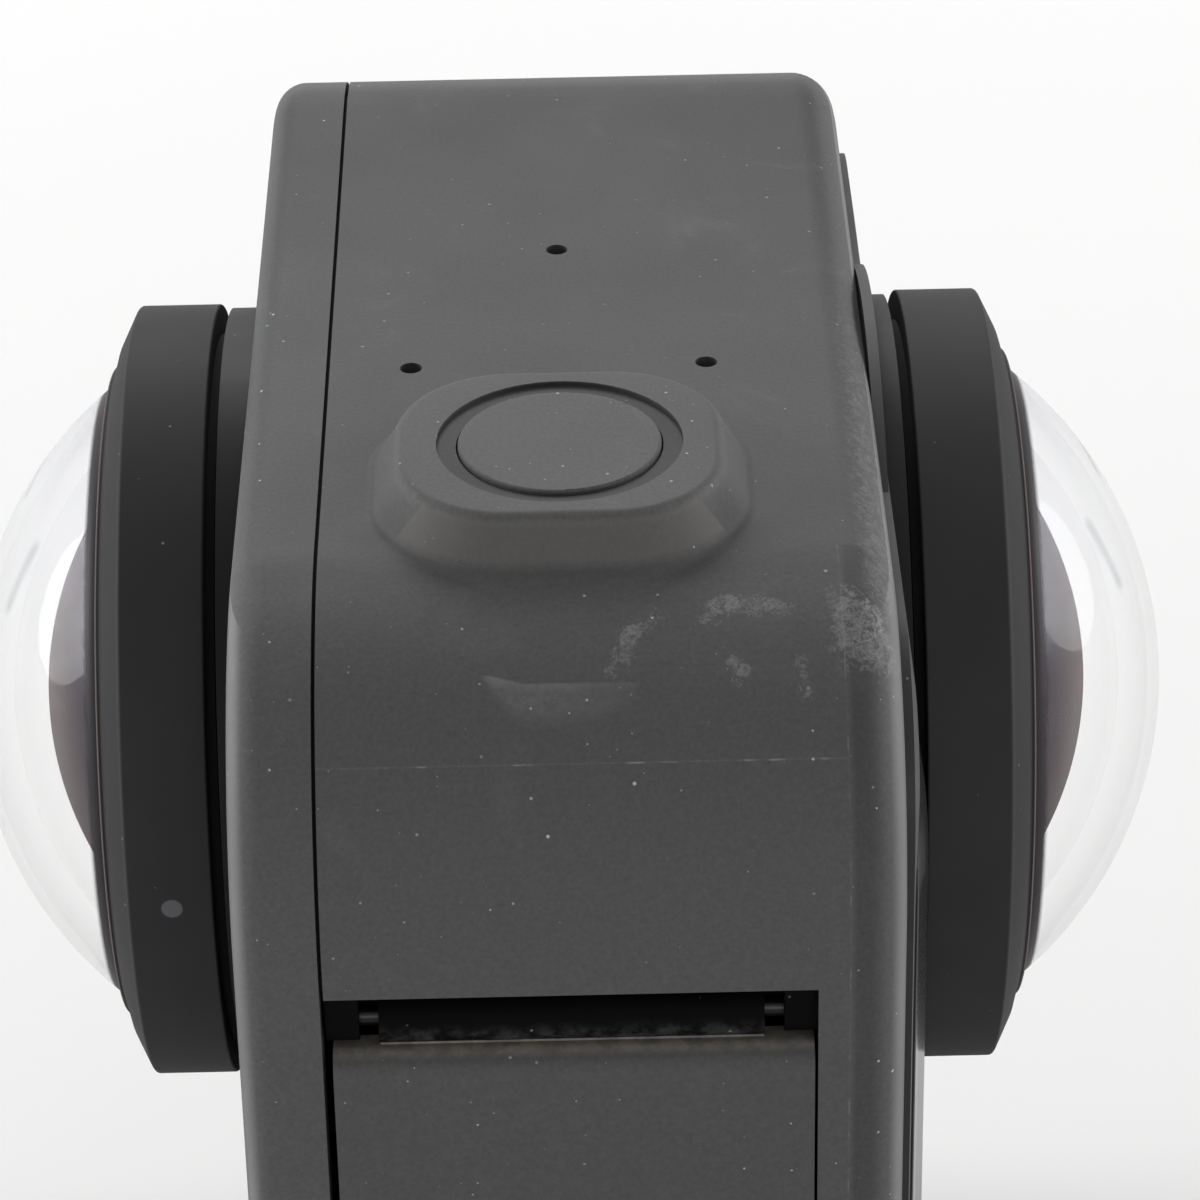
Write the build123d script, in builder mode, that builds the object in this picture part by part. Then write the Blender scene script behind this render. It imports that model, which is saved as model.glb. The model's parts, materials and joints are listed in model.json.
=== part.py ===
from build123d import *
from math import cos, radians, sin, sqrt, tan
import os

os.makedirs("parts", exist_ok=True)

# A 360 degree camera that stands on its base. X runs along the lens axis, from the front cover (-X)
# to the screen side (+X). The battery door is on -Y, the mode button on +Y, the shutter on top.
# The origin is the middle of the base. All lengths are in millimetres, and angles in degrees.

# Body
body_wide = 62.0  # along Y
body_tall = 68.0  # along Z, without the button pad
half_deep = 12.6  # along X, from the middle to either face
top_corner = 11.5
foot_corner = 9.0
wall = 1.8
base_thick = 7.2
cover_deep = 3.3  # front cover, face to seam
seam_gap = 0.15
rear_round = 1.9
front_round = 1.4
lip_deep = 1.3
lip_wall = 1.0
groove_inset = 0.6
groove_wide = 0.6
groove_deep = 0.5
overrun = 1.0  # how far every cut runs past its wall
slip = 0.1  # clearance between fixed pieces that slide together

# Lenses, on one axis
lens_drop = 18.2  # body top to lens axis
ring_proud = 0.17  # ring's radius past the mount ring's
ring_gap = 0.48  # mount ring's face to the back of the twist ring
ring_straight = 3.39  # length of the ring's cylinder
ring_slope = 1.0  # length of the bevel in front of it
rim_deep = 0.18
rim_wide = 0.55
mount_wall = 2.0
mount_thick = 1.3
lip_thick = 0.5
groove_clear = 0.15
lip_clear = 0.2
skirt_clear = 0.4  # barrel to the inside of the ring's skirt
skirt_wall = 1.3
tab_tall = 0.95
tab_thick = 0.45
tab_angle = 30.0
slot_angle = 38.0
twist_angle = 50.0
tab_count = 3
tab_float = 0.18  # between a tab and the body's face
dome_swell = 3.5  # sphere's radius past the dome's edge
dome_thick = 1.75
dome_drop = 0.03  # ring's rim to the dome's edge
dome_step = 0.05  # dome's edge past the ring's skirt
dome_sample = 20.0  # angle from the tip of the point that fixes the dome's arc
dome_seat = 2.27  # how deep the dome's edge stands in the ring
barrel_radius = 11.5
barrel_wall = 2.0
flange_thick = 1.5
barrel_gap = 0.45  # barrel's front to the dome's back
inner_lens_radius = 17.0
inner_lens_gap = 2.27  # inside of the dome to the tip of the lens
inner_lens_rim = 1.1
inner_lens_seat = 1.2
seat_clear = 0.05
retainer_tall = 1.5
retainer_lip = 0.25
sensor_board_side = 19.0
board_thick = 1.0
sensor_side = 8.6
sensor_thick = 0.9
spreader_thick = 0.8
spreader_gap = 0.2
group_thick = 4.0
group_gap = 3.5  # sensor to lens group
ring_edge = 0.2
mount_screw_count = 4
mount_screw_head = 0.7
mount_screw_head_tall = 0.5
mount_screw_radius = 0.5
seal_thick = 0.36
seal_wide = 1.9
bore_clear = 0.1

# Shutter button and the pad that it stands on
pad_tall = 2.0
pad_root = 1.2
pad_long = 12.3  # top face, along X
pad_wide = 11.2  # top face, along Y
pad_corner = 4.2
pad_slope = 29.0
pad_edge = 0.45
pad_foot = 0.5  # radius of the soft blend round the pad's foot
button_setback = 15.95  # door face to the button's axis
cap_radius = 3.93
cap_clear = 0.07
moat_radius = 4.76
moat_deep = 0.2
cap_edge = 0.12
press_travel = 0.5
cap_flange = 0.85
flange_tall = 0.9
rest_gap = 0.05
stem_radius = 1.2
stem_long = 1.2
plunger_gap = 0.1
switch_side = 5.6
switch_tall = 1.6
switch_board_long = 17.0
switch_board_wide = 7.0
button_boss = 1.2
button_boss_spread = 13.8
seal_section = 0.5
mic_radius = 0.45
mic_capsule = 1.6
mic_capsule_tall = 1.4
mic_back = 5.0  # behind the middle of the body
mic_side = 5.95
mic_front = 5.23

# Battery door on the -Y side
lintel_drop = 12.75  # body top to the top of the opening
sill_high = 9.4
jamb_deep = 3.38  # rear face to the opening's edge
door_gap = 0.12
door_seam_gap = 0.3
door_top_gap = 2.75
door_thick = 1.6
door_edge = 0.9
pivot_drop = 1.65  # top of the opening to the hinge axis
pivot_deep = 1.4  # door face to the hinge axis
pin_radius = 0.4
pin_clear = 0.05
knuckle_radius = 1.05
lug_radius = 0.95
lug_thick = 1.25
knuckle_gap = 0.75
plug_inset = 1.9
plug_deep = 1.2
door_seal_wide = 0.9
latch_wide = 7.6
latch_tall = 4.6
latch_thick = 0.8
latch_high = 3.4  # door's lower edge to the latch
latch_travel = 1.5
latch_slip = 0.12
tongue_wide = 4.0
tongue_thick = 0.45
web_thick = 0.9
pocket_wide = 4.8

# Battery, its tray and the ports above it
battery_thick = 12.8
battery_gap = 6.6  # back of the tray to the shield on the main board
barrel_over_tray = 1.7
battery_edge = 1.0
battery_slip = 0.3
tray_wall = 0.8
tray_mouth = 3.4  # door face to the mouth of the tray
contact_count = 4
contact_pitch = 2.0
contact_wide = 1.0
contact_thick = 0.4
contact_long = 3.0
panel_thick = 1.2
panel_set = 4.3  # door face to the port panel
port_board_long = 9.4
port_board_wide = 16.8
usb_wide = 8.94
usb_tall = 3.26
usb_deep = 7.3
usb_shell = 0.31
tongue_plate_wide = 6.7
tongue_plate_tall = 0.7
card_wide = 11.0
card_thick = 1.0
card_long = 8.0
card_slot_wall = 0.3

# Main board on the +Y side
boss_tall = 4.0
boss_radius = 1.5
board_wide = 17.0
board_low = 24.0
board_top_gap = 7.0
screw_inset = 2.2
screw_radius = 0.6
screw_head = 1.05
screw_head_tall = 0.7
screw_bite = 2.6
shield_thick = 1.8
shield_inset = 1.6
shield_edge = 0.6
board_corner = 1.0
mode_long = 8.6
mode_wide = 4.4
mode_flange = 0.7
mode_flange_thick = 0.8
mode_stem = 0.9
mode_switch_tall = 1.6
mode_drop = 20.0
mode_travel = 0.4
mode_moat = 0.8
mode_moat_deep = 0.6
mode_switch_long = 4.6
mode_switch_wide = 3.2
speaker_wide = 12.0
speaker_tall = 12.6
speaker_thick = 3.8
grille_count = 5
grille_slot = 0.8
grille_pitch = 1.7
grille_long = 7.0

# Screen side
bezel_thick = 0.85
bezel_side = 4.9  # body side to the bezel's edge
bezel_top = 3.6
bezel_foot = 4.2
bezel_corner = 6.5
ramp_long = 2.6
ramp_edge = 0.35
glass_ramp = 0.6
ring_clear = 0.3
glass_proud = 0.45
ring_lip = 1.0
ring_lip_tall = 0.45
glass_side = 0.9  # bezel's edge to the glass
glass_top = 4.6
glass_foot = 1.0
glass_corner = 5.0
display_wide = 41.0
display_gap = 0.6
display_foot = 2.0
display_thick = 2.2

# Base: folding fingers and the tripod insert
finger_thick = 3.0
finger_space = 3.2  # gap between the two fingers when they are unfolded
finger_half = 7.4
finger_long = 11.0  # hinge axis to the bolt's axis
bolt_radius = 2.55
finger_rise = 0.3
finger_slip = 0.4
notch_half = 4.25
notch_gap = 0.3
finger_pin = 0.75
finger_pin_clear = 0.05
finger_pin_long = 4.2
pin_bite = 0.8
insert_radius = 4.2
insert_bore = 2.6
insert_tall = 6.2
insert_rise = 0.3
light_radius = 0.9
light_side = 19.0
light_high = 30.0

# Places worked out from the sizes above
skirt_radius = barrel_radius + skirt_clear + skirt_wall
bore_radius = skirt_radius + bore_clear
lip_radius = skirt_radius + lip_clear
groove_radius = skirt_radius + tab_tall + groove_clear
mount_radius = groove_radius + mount_wall
mount_screw_ring = (groove_radius + mount_radius) / 2
ring_radius = mount_radius + ring_proud
seal_radius = bore_radius + seal_wide
dome_edge = skirt_radius + dome_step
dome_radius = dome_edge + dome_swell
inner_lens_edge = barrel_radius - inner_lens_rim
retainer_top_radius = inner_lens_edge + retainer_lip
side_y = body_wide / 2
inner_y = side_y - wall
inner_x = half_deep - wall
roof_z = body_tall - wall
lens_z = body_tall - lens_drop
seam_x = -(half_deep - cover_deep)
housing_x = seam_x + seam_gap / 2
cover_x = seam_x - seam_gap / 2
lens_axis = Axis((0, 0, lens_z), (1, 0, 0))
pad_top = body_tall + pad_tall
button_y = button_setback - side_y
lintel_z = body_tall - lintel_drop
door_right = half_deep - jamb_deep
pivot_y = pivot_deep - side_y
pivot_z = lintel_z - pivot_drop
door_low = sill_high + door_gap
door_high = lintel_z - door_top_gap
door_left = seam_x + door_seam_gap
door_wide = door_right - door_gap - door_left
door_mid = (door_left + door_right - door_gap) / 2
finger_y = (finger_space + finger_thick) / 2
finger_z = finger_rise + finger_thick / 2
pocket_half = finger_half + finger_slip
pocket_deep = finger_rise + finger_thick + finger_slip
mic_spots = ((0, mic_back), (-mic_side, -mic_front), (mic_side, -mic_front))


def body_outline(sketch, inset):
    # The camera's rounded outline seen along the lens axis, drawn smaller by the inset
    with Locations((0, inset)):
        Rectangle(body_wide - 2 * inset, body_tall - 2 * inset, align=(Align.CENTER, Align.MIN))
    fillet(sketch.vertices().group_by(Axis.Y)[-1], radius=top_corner - inset)
    fillet(sketch.vertices().group_by(Axis.Y)[0], radius=foot_corner - inset)


def spoke_plane(angle):
    # A plane through the lens axis: local x runs along the axis and local y outwards at the angle
    turned = (0, -cos(radians(angle)), -sin(radians(angle)))
    return Plane(origin=(0, 0, lens_z), x_dir=(1, 0, 0), z_dir=turned)


def save(part, name):
    part.part.label = name
    export_step(part.part, f"parts/{name}.step")


# Seal in the seam, open at the battery door, and half sunk in a groove in the housing's rim
with BuildPart() as cover_gasket:
    with BuildSketch(Plane.YZ.offset(cover_x)) as band:
        body_outline(band, groove_inset)
        with BuildSketch(mode=Mode.SUBTRACT) as core:
            body_outline(core, groove_inset + groove_wide)
        with Locations((-side_y, (sill_high + lintel_z) / 2)):
            Rectangle(2 * wall, lintel_z - sill_high, mode=Mode.SUBTRACT)
    extrude(amount=seam_gap + groove_deep)
save(cover_gasket, "cover_gasket")

# Main housing
mode_z = body_tall - mode_drop
display_low = bezel_foot + glass_foot + display_foot
display_high = lens_z - mount_radius - display_gap
display_tall = display_high - display_low
display_z = (display_high + display_low) / 2
board_high = body_tall - board_top_gap
board_spots = [
    (x * (board_wide / 2 - screw_inset), z)
    for x in (-1, 1)
    for z in (board_low + screw_inset, board_high - screw_inset)
]
button_boss_spots = [(x * button_boss_spread / 2, button_y) for x in (-1, 1)]
flange_top = roof_z - rest_gap
stem_low = flange_top - flange_tall - stem_long
switch_top = stem_low - press_travel - plunger_gap
switch_board_top = switch_top - switch_tall
speaker_z = foot_corner + speaker_tall / 2
board_face = inner_y - boss_tall
shield_y = board_face - board_thick - shield_thick

with BuildPart() as main_housing:
    with BuildSketch(Plane.YZ.offset(housing_x)) as outer:
        body_outline(outer, 0)
    extrude(amount=half_deep - housing_x)
    fillet(main_housing.faces().sort_by(Axis.X)[-1].edges(), radius=rear_round)
    with BuildSketch(Plane.XY.offset(body_tall - pad_root)) as pad:
        with Locations((0, button_y)):
            spread = 2 * (pad_root + pad_tall) * tan(radians(pad_slope))
            RectangleRounded(pad_long + spread, pad_wide + spread, pad_corner + spread / 2)
    extrude(amount=pad_root + pad_tall, taper=pad_slope)
    pad_sides = [
        face
        for face in main_housing.faces()
        if face.bounding_box().max.Z > pad_top - slip and face.bounding_box().min.Z < body_tall + slip
    ]
    foot_edges = ShapeList([edge for face in pad_sides for edge in face.edges()])
    foot_edges = foot_edges.filter_by(lambda edge: edge.bounding_box().max.Z < body_tall + slip)
    fillet(foot_edges, radius=pad_foot)
    fillet(main_housing.faces().sort_by(Axis.Z)[-1].edges(), radius=pad_edge)
    with BuildSketch(Plane.YZ.offset(housing_x)) as hollow:
        body_outline(hollow, wall)
        Rectangle(body_wide, base_thick, align=(Align.CENTER, Align.MIN), mode=Mode.SUBTRACT)
    extrude(amount=inner_x - housing_x, mode=Mode.SUBTRACT)
    with BuildSketch(Plane.XY.offset(pad_top)):
        with Locations((0, button_y)):
            Circle(moat_radius)
    extrude(amount=-moat_deep, mode=Mode.SUBTRACT)
    with BuildSketch(Plane.XY.offset(pad_top)):
        with Locations((0, button_y)):
            Circle(cap_radius + cap_clear)
    extrude(amount=roof_z - overrun - pad_top, mode=Mode.SUBTRACT)
    with BuildSketch(Plane.XY.offset(body_tall)):
        with Locations(*mic_spots):
            Circle(mic_radius)
    extrude(amount=-(wall + overrun), mode=Mode.SUBTRACT)
    # Bosses under the roof for the shutter's board, and on the side wall for the main board
    with BuildSketch(Plane.XY.offset(roof_z)):
        with Locations(*button_boss_spots):
            Circle(button_boss)
    extrude(amount=switch_board_top - roof_z)
    with BuildSketch(Plane.XZ.offset(-inner_y)):
        with Locations(*board_spots):
            Circle(boss_radius)
    extrude(amount=boss_tall)
    with BuildSketch(Plane.XZ.offset(boss_tall - inner_y)):
        with Locations(*board_spots):
            Circle(screw_radius)
    extrude(amount=-screw_bite, mode=Mode.SUBTRACT)
    with BuildSketch(Plane.XY.offset(switch_board_top)):
        with Locations(*button_boss_spots):
            Circle(screw_radius)
    extrude(amount=screw_bite, mode=Mode.SUBTRACT)
    # Door opening, from the seam to the rear jamb, and the two hinge lugs at its top
    with BuildSketch(Plane.XZ.offset(side_y + overrun)):
        with Locations(((housing_x - overrun + door_right) / 2, sill_high)):
            Rectangle(door_right - housing_x + overrun, lintel_z - sill_high, align=(Align.CENTER, Align.MIN))
    extrude(amount=-(wall + 2 * overrun), mode=Mode.SUBTRACT)
    for lug_x in (housing_x, door_right - lug_thick):
        with BuildSketch(Plane.YZ.offset(lug_x)):
            with Locations((pivot_y, pivot_z)):
                Circle(lug_radius)
                Rectangle(2 * lug_radius, pivot_drop + slip, align=(Align.CENTER, Align.MIN))
        extrude(amount=lug_thick)
    with BuildSketch(Plane.YZ.offset(housing_x)):
        with Locations((pivot_y, pivot_z)):
            Circle(pin_radius)
    extrude(amount=door_right - housing_x, mode=Mode.SUBTRACT)
    with BuildSketch(Plane.XY.offset(sill_high)):
        with Locations((door_mid, door_thick / 2 - side_y)):
            Rectangle(pocket_wide, tongue_thick + 2 * latch_slip)
    extrude(amount=-(latch_travel + slip), mode=Mode.SUBTRACT)
    # Lens bore and screen window in the rear face
    with BuildSketch(Plane.YZ.offset(inner_x - overrun)):
        with Locations((0, lens_z)):
            Circle(bore_radius)
            with PolarLocations(mount_screw_ring, mount_screw_count, start_angle=360 / mount_screw_count / 2):
                Circle(mount_screw_radius)
        with Locations((0, display_z)):
            Rectangle(display_wide + 2 * slip, display_tall + 2 * slip)
    extrude(amount=wall + 2 * overrun, mode=Mode.SUBTRACT)
    # Mode button's moat and hole, and the speaker's slots
    with BuildSketch(Plane.XZ.offset(-side_y)):
        with Locations((0, mode_z)):
            SlotOverall(mode_long + 2 * mode_moat, mode_wide + 2 * mode_moat, rotation=90)
    extrude(amount=mode_moat_deep, mode=Mode.SUBTRACT)
    with BuildSketch(Plane.XZ.offset(-side_y)):
        with Locations((0, mode_z)):
            SlotOverall(mode_long + 2 * cap_clear, mode_wide + 2 * cap_clear, rotation=90)
        with Locations((0, speaker_z)):
            with GridLocations(0, grille_pitch, 1, grille_count):
                SlotOverall(grille_long, grille_slot)
    extrude(amount=wall + overrun, mode=Mode.SUBTRACT)
    # Finger pocket, hinge pin holes and the tripod insert's seat in the base
    with BuildSketch(Plane.XY):
        pocket_reach = finger_y + finger_long + finger_half + finger_slip
        SlotOverall(2 * pocket_reach, 2 * pocket_half, rotation=90)
    extrude(amount=pocket_deep, mode=Mode.SUBTRACT)
    with BuildSketch(Plane.YZ.offset(-pocket_half - pin_bite)):
        with Locations((-finger_y, finger_z), (finger_y, finger_z)):
            Circle(finger_pin)
    extrude(amount=2 * (pocket_half + pin_bite), mode=Mode.SUBTRACT)
    with BuildSketch(Plane.XY.offset(insert_rise)):
        Circle(insert_radius)
    extrude(amount=insert_tall, mode=Mode.SUBTRACT)
    add(cover_gasket.part, mode=Mode.SUBTRACT)
save(main_housing, "main_housing")

# Front cover, a shallow shell with a lip that locates it in the housing
with BuildPart() as front_cover:
    with BuildSketch(Plane.YZ.offset(cover_x)) as outer:
        body_outline(outer, 0)
    extrude(amount=-(half_deep + cover_x))
    fillet(front_cover.faces().sort_by(Axis.X)[0].edges(), radius=front_round)
    with BuildSketch(Plane.YZ.offset(cover_x)) as hollow:
        body_outline(hollow, wall)
    extrude(amount=-(inner_x + cover_x), mode=Mode.SUBTRACT)
    with BuildSketch(Plane.YZ.offset(-inner_x)) as lip:
        body_outline(lip, wall + slip)
        with Locations((0, wall + slip + lip_wall)):
            Rectangle(
                body_wide - 2 * (wall + slip + lip_wall),
                body_tall - 2 * (wall + slip + lip_wall),
                align=(Align.CENTER, Align.MIN),
                mode=Mode.SUBTRACT,
            )
        Rectangle(body_wide, base_thick + slip, align=(Align.CENTER, Align.MIN), mode=Mode.SUBTRACT)
        with Locations((0, lens_z)):
            Circle(mount_radius + slip, mode=Mode.SUBTRACT)
        door_side = (-side_y, (door_low + lintel_z) / 2)
        with Locations(door_side):
            Rectangle(body_wide / 2, lintel_z + base_thick, mode=Mode.SUBTRACT)
    extrude(amount=inner_x + cover_x + lip_deep)
    with BuildSketch(Plane.YZ.offset(-inner_x + overrun)):
        with Locations((0, lens_z)):
            Circle(bore_radius)
            with PolarLocations(mount_screw_ring, mount_screw_count, start_angle=360 / mount_screw_count / 2):
                Circle(mount_screw_radius)
        with Locations((light_side, light_high)):
            Circle(light_radius)
    extrude(amount=-(wall + 2 * overrun), mode=Mode.SUBTRACT)
save(front_cover, "front_cover")

# Shutter button: cap, flange under the roof, and a stem over the switch
seal_low = body_tall - wall / 2
with BuildPart() as shutter_button:
    with BuildSketch(Plane.XY.offset(roof_z - rest_gap)):
        with Locations((0, button_y)):
            Circle(cap_radius)
    extrude(amount=pad_top - roof_z + rest_gap)
    fillet(shutter_button.faces().sort_by(Axis.Z)[-1].edges(), radius=cap_edge)
    with BuildSketch(Plane.XY.offset(flange_top)):
        with Locations((0, button_y)):
            Circle(cap_radius + cap_flange)
    extrude(amount=-flange_tall)
    with BuildSketch(Plane.XY.offset(flange_top - flange_tall)):
        with Locations((0, button_y)):
            Circle(stem_radius)
    extrude(amount=-stem_long)
    with BuildSketch(Plane.XY.offset(seal_low)):
        with Locations((0, button_y)):
            Circle(cap_radius + cap_clear)
            Circle(cap_radius - seal_section, mode=Mode.SUBTRACT)
    extrude(amount=seal_section, mode=Mode.SUBTRACT)
save(shutter_button, "shutter_button")

with BuildPart() as shutter_seal:
    with BuildSketch(Plane.XY.offset(seal_low)):
        with Locations((0, button_y)):
            Circle(cap_radius + cap_clear / 2)
            Circle(cap_radius - seal_section, mode=Mode.SUBTRACT)
    extrude(amount=seal_section)
save(shutter_seal, "shutter_seal")

with BuildPart() as shutter_switch:
    with BuildSketch(Plane.XY.offset(switch_board_top)):
        with Locations((0, button_y)):
            Rectangle(switch_side, switch_side)
    extrude(amount=switch_tall * 2 / 3)
    with BuildSketch(Plane.XY.offset(switch_board_top + switch_tall * 2 / 3)):
        with Locations((0, button_y)):
            Circle(stem_radius)
    extrude(amount=switch_tall / 3)
save(shutter_switch, "shutter_switch")

with BuildPart() as shutter_board:
    with BuildSketch(Plane.XY.offset(switch_board_top)):
        with Locations((0, button_y)):
            RectangleRounded(switch_board_long, switch_board_wide, board_corner)
        with Locations(*button_boss_spots):
            Circle(screw_radius, mode=Mode.SUBTRACT)
    extrude(amount=-board_thick)
save(shutter_board, "shutter_board")

with BuildPart() as button_screws:
    with BuildSketch(Plane.XY.offset(switch_board_top - board_thick)):
        with Locations(*button_boss_spots):
            Circle(screw_radius)
    extrude(amount=board_thick + screw_bite)
    with BuildSketch(Plane.XY.offset(switch_board_top - board_thick)):
        with Locations(*button_boss_spots):
            Circle(screw_head)
    extrude(amount=-screw_head_tall)
save(button_screws, "button_screws")

# Microphone capsules under the three holes in the roof
with BuildPart() as microphones:
    with BuildSketch(Plane.XY.offset(roof_z)):
        with Locations(*mic_spots):
            Circle(mic_capsule)
    extrude(amount=-mic_capsule_tall)
save(microphones, "microphones")

# Mode button on the +Y side, with its switch on the main board
mode_flange_y = inner_y - rest_gap
mode_stem_y = board_face + mode_switch_tall + mode_travel + plunger_gap
with BuildPart() as mode_button:
    with BuildSketch(Plane.XZ.offset(-side_y)):
        with Locations((0, mode_z)):
            SlotOverall(mode_long, mode_wide, rotation=90)
    extrude(amount=side_y - mode_flange_y)
    fillet(mode_button.faces().sort_by(Axis.Y)[-1].edges(), radius=cap_edge)
    with BuildSketch(Plane.XZ.offset(-mode_flange_y)):
        with Locations((0, mode_z)):
            SlotOverall(mode_long + 2 * mode_flange, mode_wide + 2 * mode_flange, rotation=90)
    extrude(amount=mode_flange_thick)
    with BuildSketch(Plane.XZ.offset(mode_flange_thick - mode_flange_y)):
        with Locations((0, mode_z)):
            Circle(mode_stem)
    extrude(amount=mode_flange_y - mode_flange_thick - mode_stem_y)
save(mode_button, "mode_button")

with BuildPart() as mode_switch:
    with BuildSketch(Plane.XZ.offset(-board_face)):
        with Locations((0, mode_z)):
            Rectangle(mode_switch_long, mode_switch_wide)
    extrude(amount=-mode_switch_tall * 2 / 3)
    with BuildSketch(Plane.XZ.offset(-board_face - mode_switch_tall * 2 / 3)):
        with Locations((0, mode_z)):
            Circle(mode_stem)
    extrude(amount=-mode_switch_tall / 3)
save(mode_switch, "mode_switch")

# Main board on its four bosses, with a shield over its chips
with BuildPart() as main_board:
    with BuildSketch(Plane.XZ.offset(-board_face)):
        with Locations((0, (board_low + board_high) / 2)):
            RectangleRounded(board_wide, board_high - board_low, board_corner)
        with Locations(*board_spots):
            Circle(screw_radius, mode=Mode.SUBTRACT)
    extrude(amount=board_thick)
save(main_board, "main_board")

shield_low = board_low + 2 * screw_inset + shield_inset
shield_high = board_high - 2 * screw_inset
with BuildPart() as board_shield:
    with BuildSketch(Plane.XZ.offset(board_thick - board_face)):
        with Locations((0, (shield_low + shield_high) / 2)):
            Rectangle(board_wide - 2 * shield_inset, shield_high - shield_low)
    extrude(amount=shield_thick)
    fillet(board_shield.faces().sort_by(Axis.Y)[0].edges(), radius=shield_edge)
save(board_shield, "board_shield")

with BuildPart() as board_screws:
    with BuildSketch(Plane.XZ.offset(board_thick - board_face)):
        with Locations(*board_spots):
            Circle(screw_radius)
    extrude(amount=-board_thick - screw_bite)
    with BuildSketch(Plane.XZ.offset(board_thick - board_face)):
        with Locations(*board_spots):
            Circle(screw_head)
    extrude(amount=screw_head_tall)
save(board_screws, "board_screws")

spreader_low = lens_z - barrel_radius
with BuildPart() as heat_spreader:
    with BuildSketch(Plane.YZ.offset(-spreader_thick / 2)):
        with Locations(((shield_y - barrel_radius) / 2, (spreader_low + shield_high) / 2)):
            Rectangle(shield_y + barrel_radius, shield_high - spreader_low)
    extrude(amount=spreader_thick)
save(heat_spreader, "heat_spreader")

with BuildPart() as speaker:
    with BuildSketch(Plane.XZ.offset(-inner_y)):
        with Locations((0, speaker_z)):
            RectangleRounded(speaker_wide, speaker_tall, board_corner)
    extrude(amount=speaker_thick)
save(speaker, "speaker")

with BuildPart() as status_light:
    with BuildSketch(Plane.YZ.offset(-half_deep)):
        with Locations((light_side, light_high)):
            Circle(light_radius)
    extrude(amount=wall)
save(status_light, "status_light")

# Battery and its tray on the base, open towards the door
tray_front = tray_mouth - side_y
tray_back = shield_y - battery_gap
tray_slack = battery_slip + tray_wall
tray_high = lens_z - barrel_radius - barrel_over_tray
battery_start = tray_front + battery_slip
battery_long = tray_back - tray_wall - battery_slip - battery_start
battery_tall = tray_high - base_thick - 2 * tray_slack
battery_z = (base_thick + tray_high) / 2
with BuildPart() as battery_tray:
    with BuildSketch(Plane.XZ.offset(-tray_front)):
        with Locations((0, (base_thick + tray_high) / 2)):
            Rectangle(battery_thick + 2 * tray_slack, tray_high - base_thick)
    extrude(amount=tray_front - tray_back)
    with BuildSketch(Plane.XZ.offset(-tray_front)):
        with Locations((0, battery_z)):
            Rectangle(battery_thick + 2 * battery_slip, battery_tall + 2 * battery_slip)
    extrude(amount=tray_front - tray_back + tray_wall, mode=Mode.SUBTRACT)
    with BuildSketch(Plane.XZ.offset(-tray_back)):
        with Locations((0, battery_z)):
            with GridLocations(contact_pitch, 0, contact_count, 1):
                Rectangle(contact_wide, contact_long)
    extrude(amount=tray_wall, mode=Mode.SUBTRACT)
save(battery_tray, "battery_tray")

with BuildPart() as battery:
    with BuildSketch(Plane.XZ.offset(-battery_start)):
        with Locations((0, battery_z)):
            Rectangle(battery_thick, battery_tall)
    extrude(amount=-battery_long)
    fillet(battery.edges().filter_by(Axis.Y), radius=battery_edge)
save(battery, "battery")

with BuildPart() as battery_contacts:
    with BuildSketch(Plane.XZ.offset(-tray_back + tray_wall)):
        with Locations((0, battery_z)):
            with GridLocations(contact_pitch, 0, contact_count, 1):
                Rectangle(contact_wide - contact_thick / 2, contact_long)
    extrude(amount=-tray_wall - contact_thick)
save(battery_contacts, "battery_contacts")

# Port panel behind the door, above the tray, with the charging port and the memory card slot
panel_front = panel_set - side_y
panel_back = panel_front + panel_thick
panel_left = door_left + slip
panel_right = inner_x - slip
panel_high = lintel_z - slip
port_board_z = (tray_high + panel_high) / 2
usb_z = port_board_z - board_thick / 2 - usb_tall / 2
card_z = port_board_z + board_thick / 2 + card_slot_wall + card_thick / 2
with BuildPart() as port_panel:
    with BuildSketch(Plane.XZ.offset(-panel_front)):
        with Locations(((panel_left + panel_right) / 2, (tray_high + panel_high) / 2)):
            Rectangle(panel_right - panel_left, panel_high - tray_high)
        with Locations((0, usb_z)):
            SlotOverall(usb_wide, usb_tall, mode=Mode.SUBTRACT)
        with Locations((0, card_z)):
            Rectangle(card_wide + 2 * slip, card_thick + 2 * slip, mode=Mode.SUBTRACT)
    extrude(amount=-panel_thick)
save(port_panel, "port_panel")

with BuildPart() as port_board:
    with BuildSketch(Plane.XY.offset(port_board_z - board_thick / 2)):
        with Locations((0, panel_back)):
            Rectangle(port_board_wide, port_board_long, align=(Align.CENTER, Align.MIN))
    extrude(amount=board_thick)
save(port_board, "port_board")

with BuildPart() as usb_port:
    with BuildSketch(Plane.XZ.offset(-panel_front)):
        with Locations((0, usb_z)):
            SlotOverall(usb_wide, usb_tall)
    extrude(amount=-usb_deep)
    with BuildSketch(Plane.XZ.offset(-panel_front)):
        with Locations((0, usb_z)):
            SlotOverall(usb_wide - 2 * usb_shell, usb_tall - 2 * usb_shell)
    extrude(amount=usb_shell - usb_deep, mode=Mode.SUBTRACT)
    with BuildSketch(Plane.XZ.offset(-panel_front - tongue_plate_tall)):
        with Locations((0, usb_z)):
            Rectangle(tongue_plate_wide, tongue_plate_tall)
    extrude(amount=usb_shell + tongue_plate_tall - usb_deep)
save(usb_port, "usb_port")

with BuildPart() as card_slot:
    with BuildSketch(Plane.XZ.offset(-panel_back)):
        with Locations((0, card_z)):
            Rectangle(card_wide + 2 * card_slot_wall + 2 * slip, card_thick + 2 * card_slot_wall)
            Rectangle(card_wide + 2 * slip, card_thick, mode=Mode.SUBTRACT)
    extrude(amount=-card_long)
save(card_slot, "card_slot")

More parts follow.
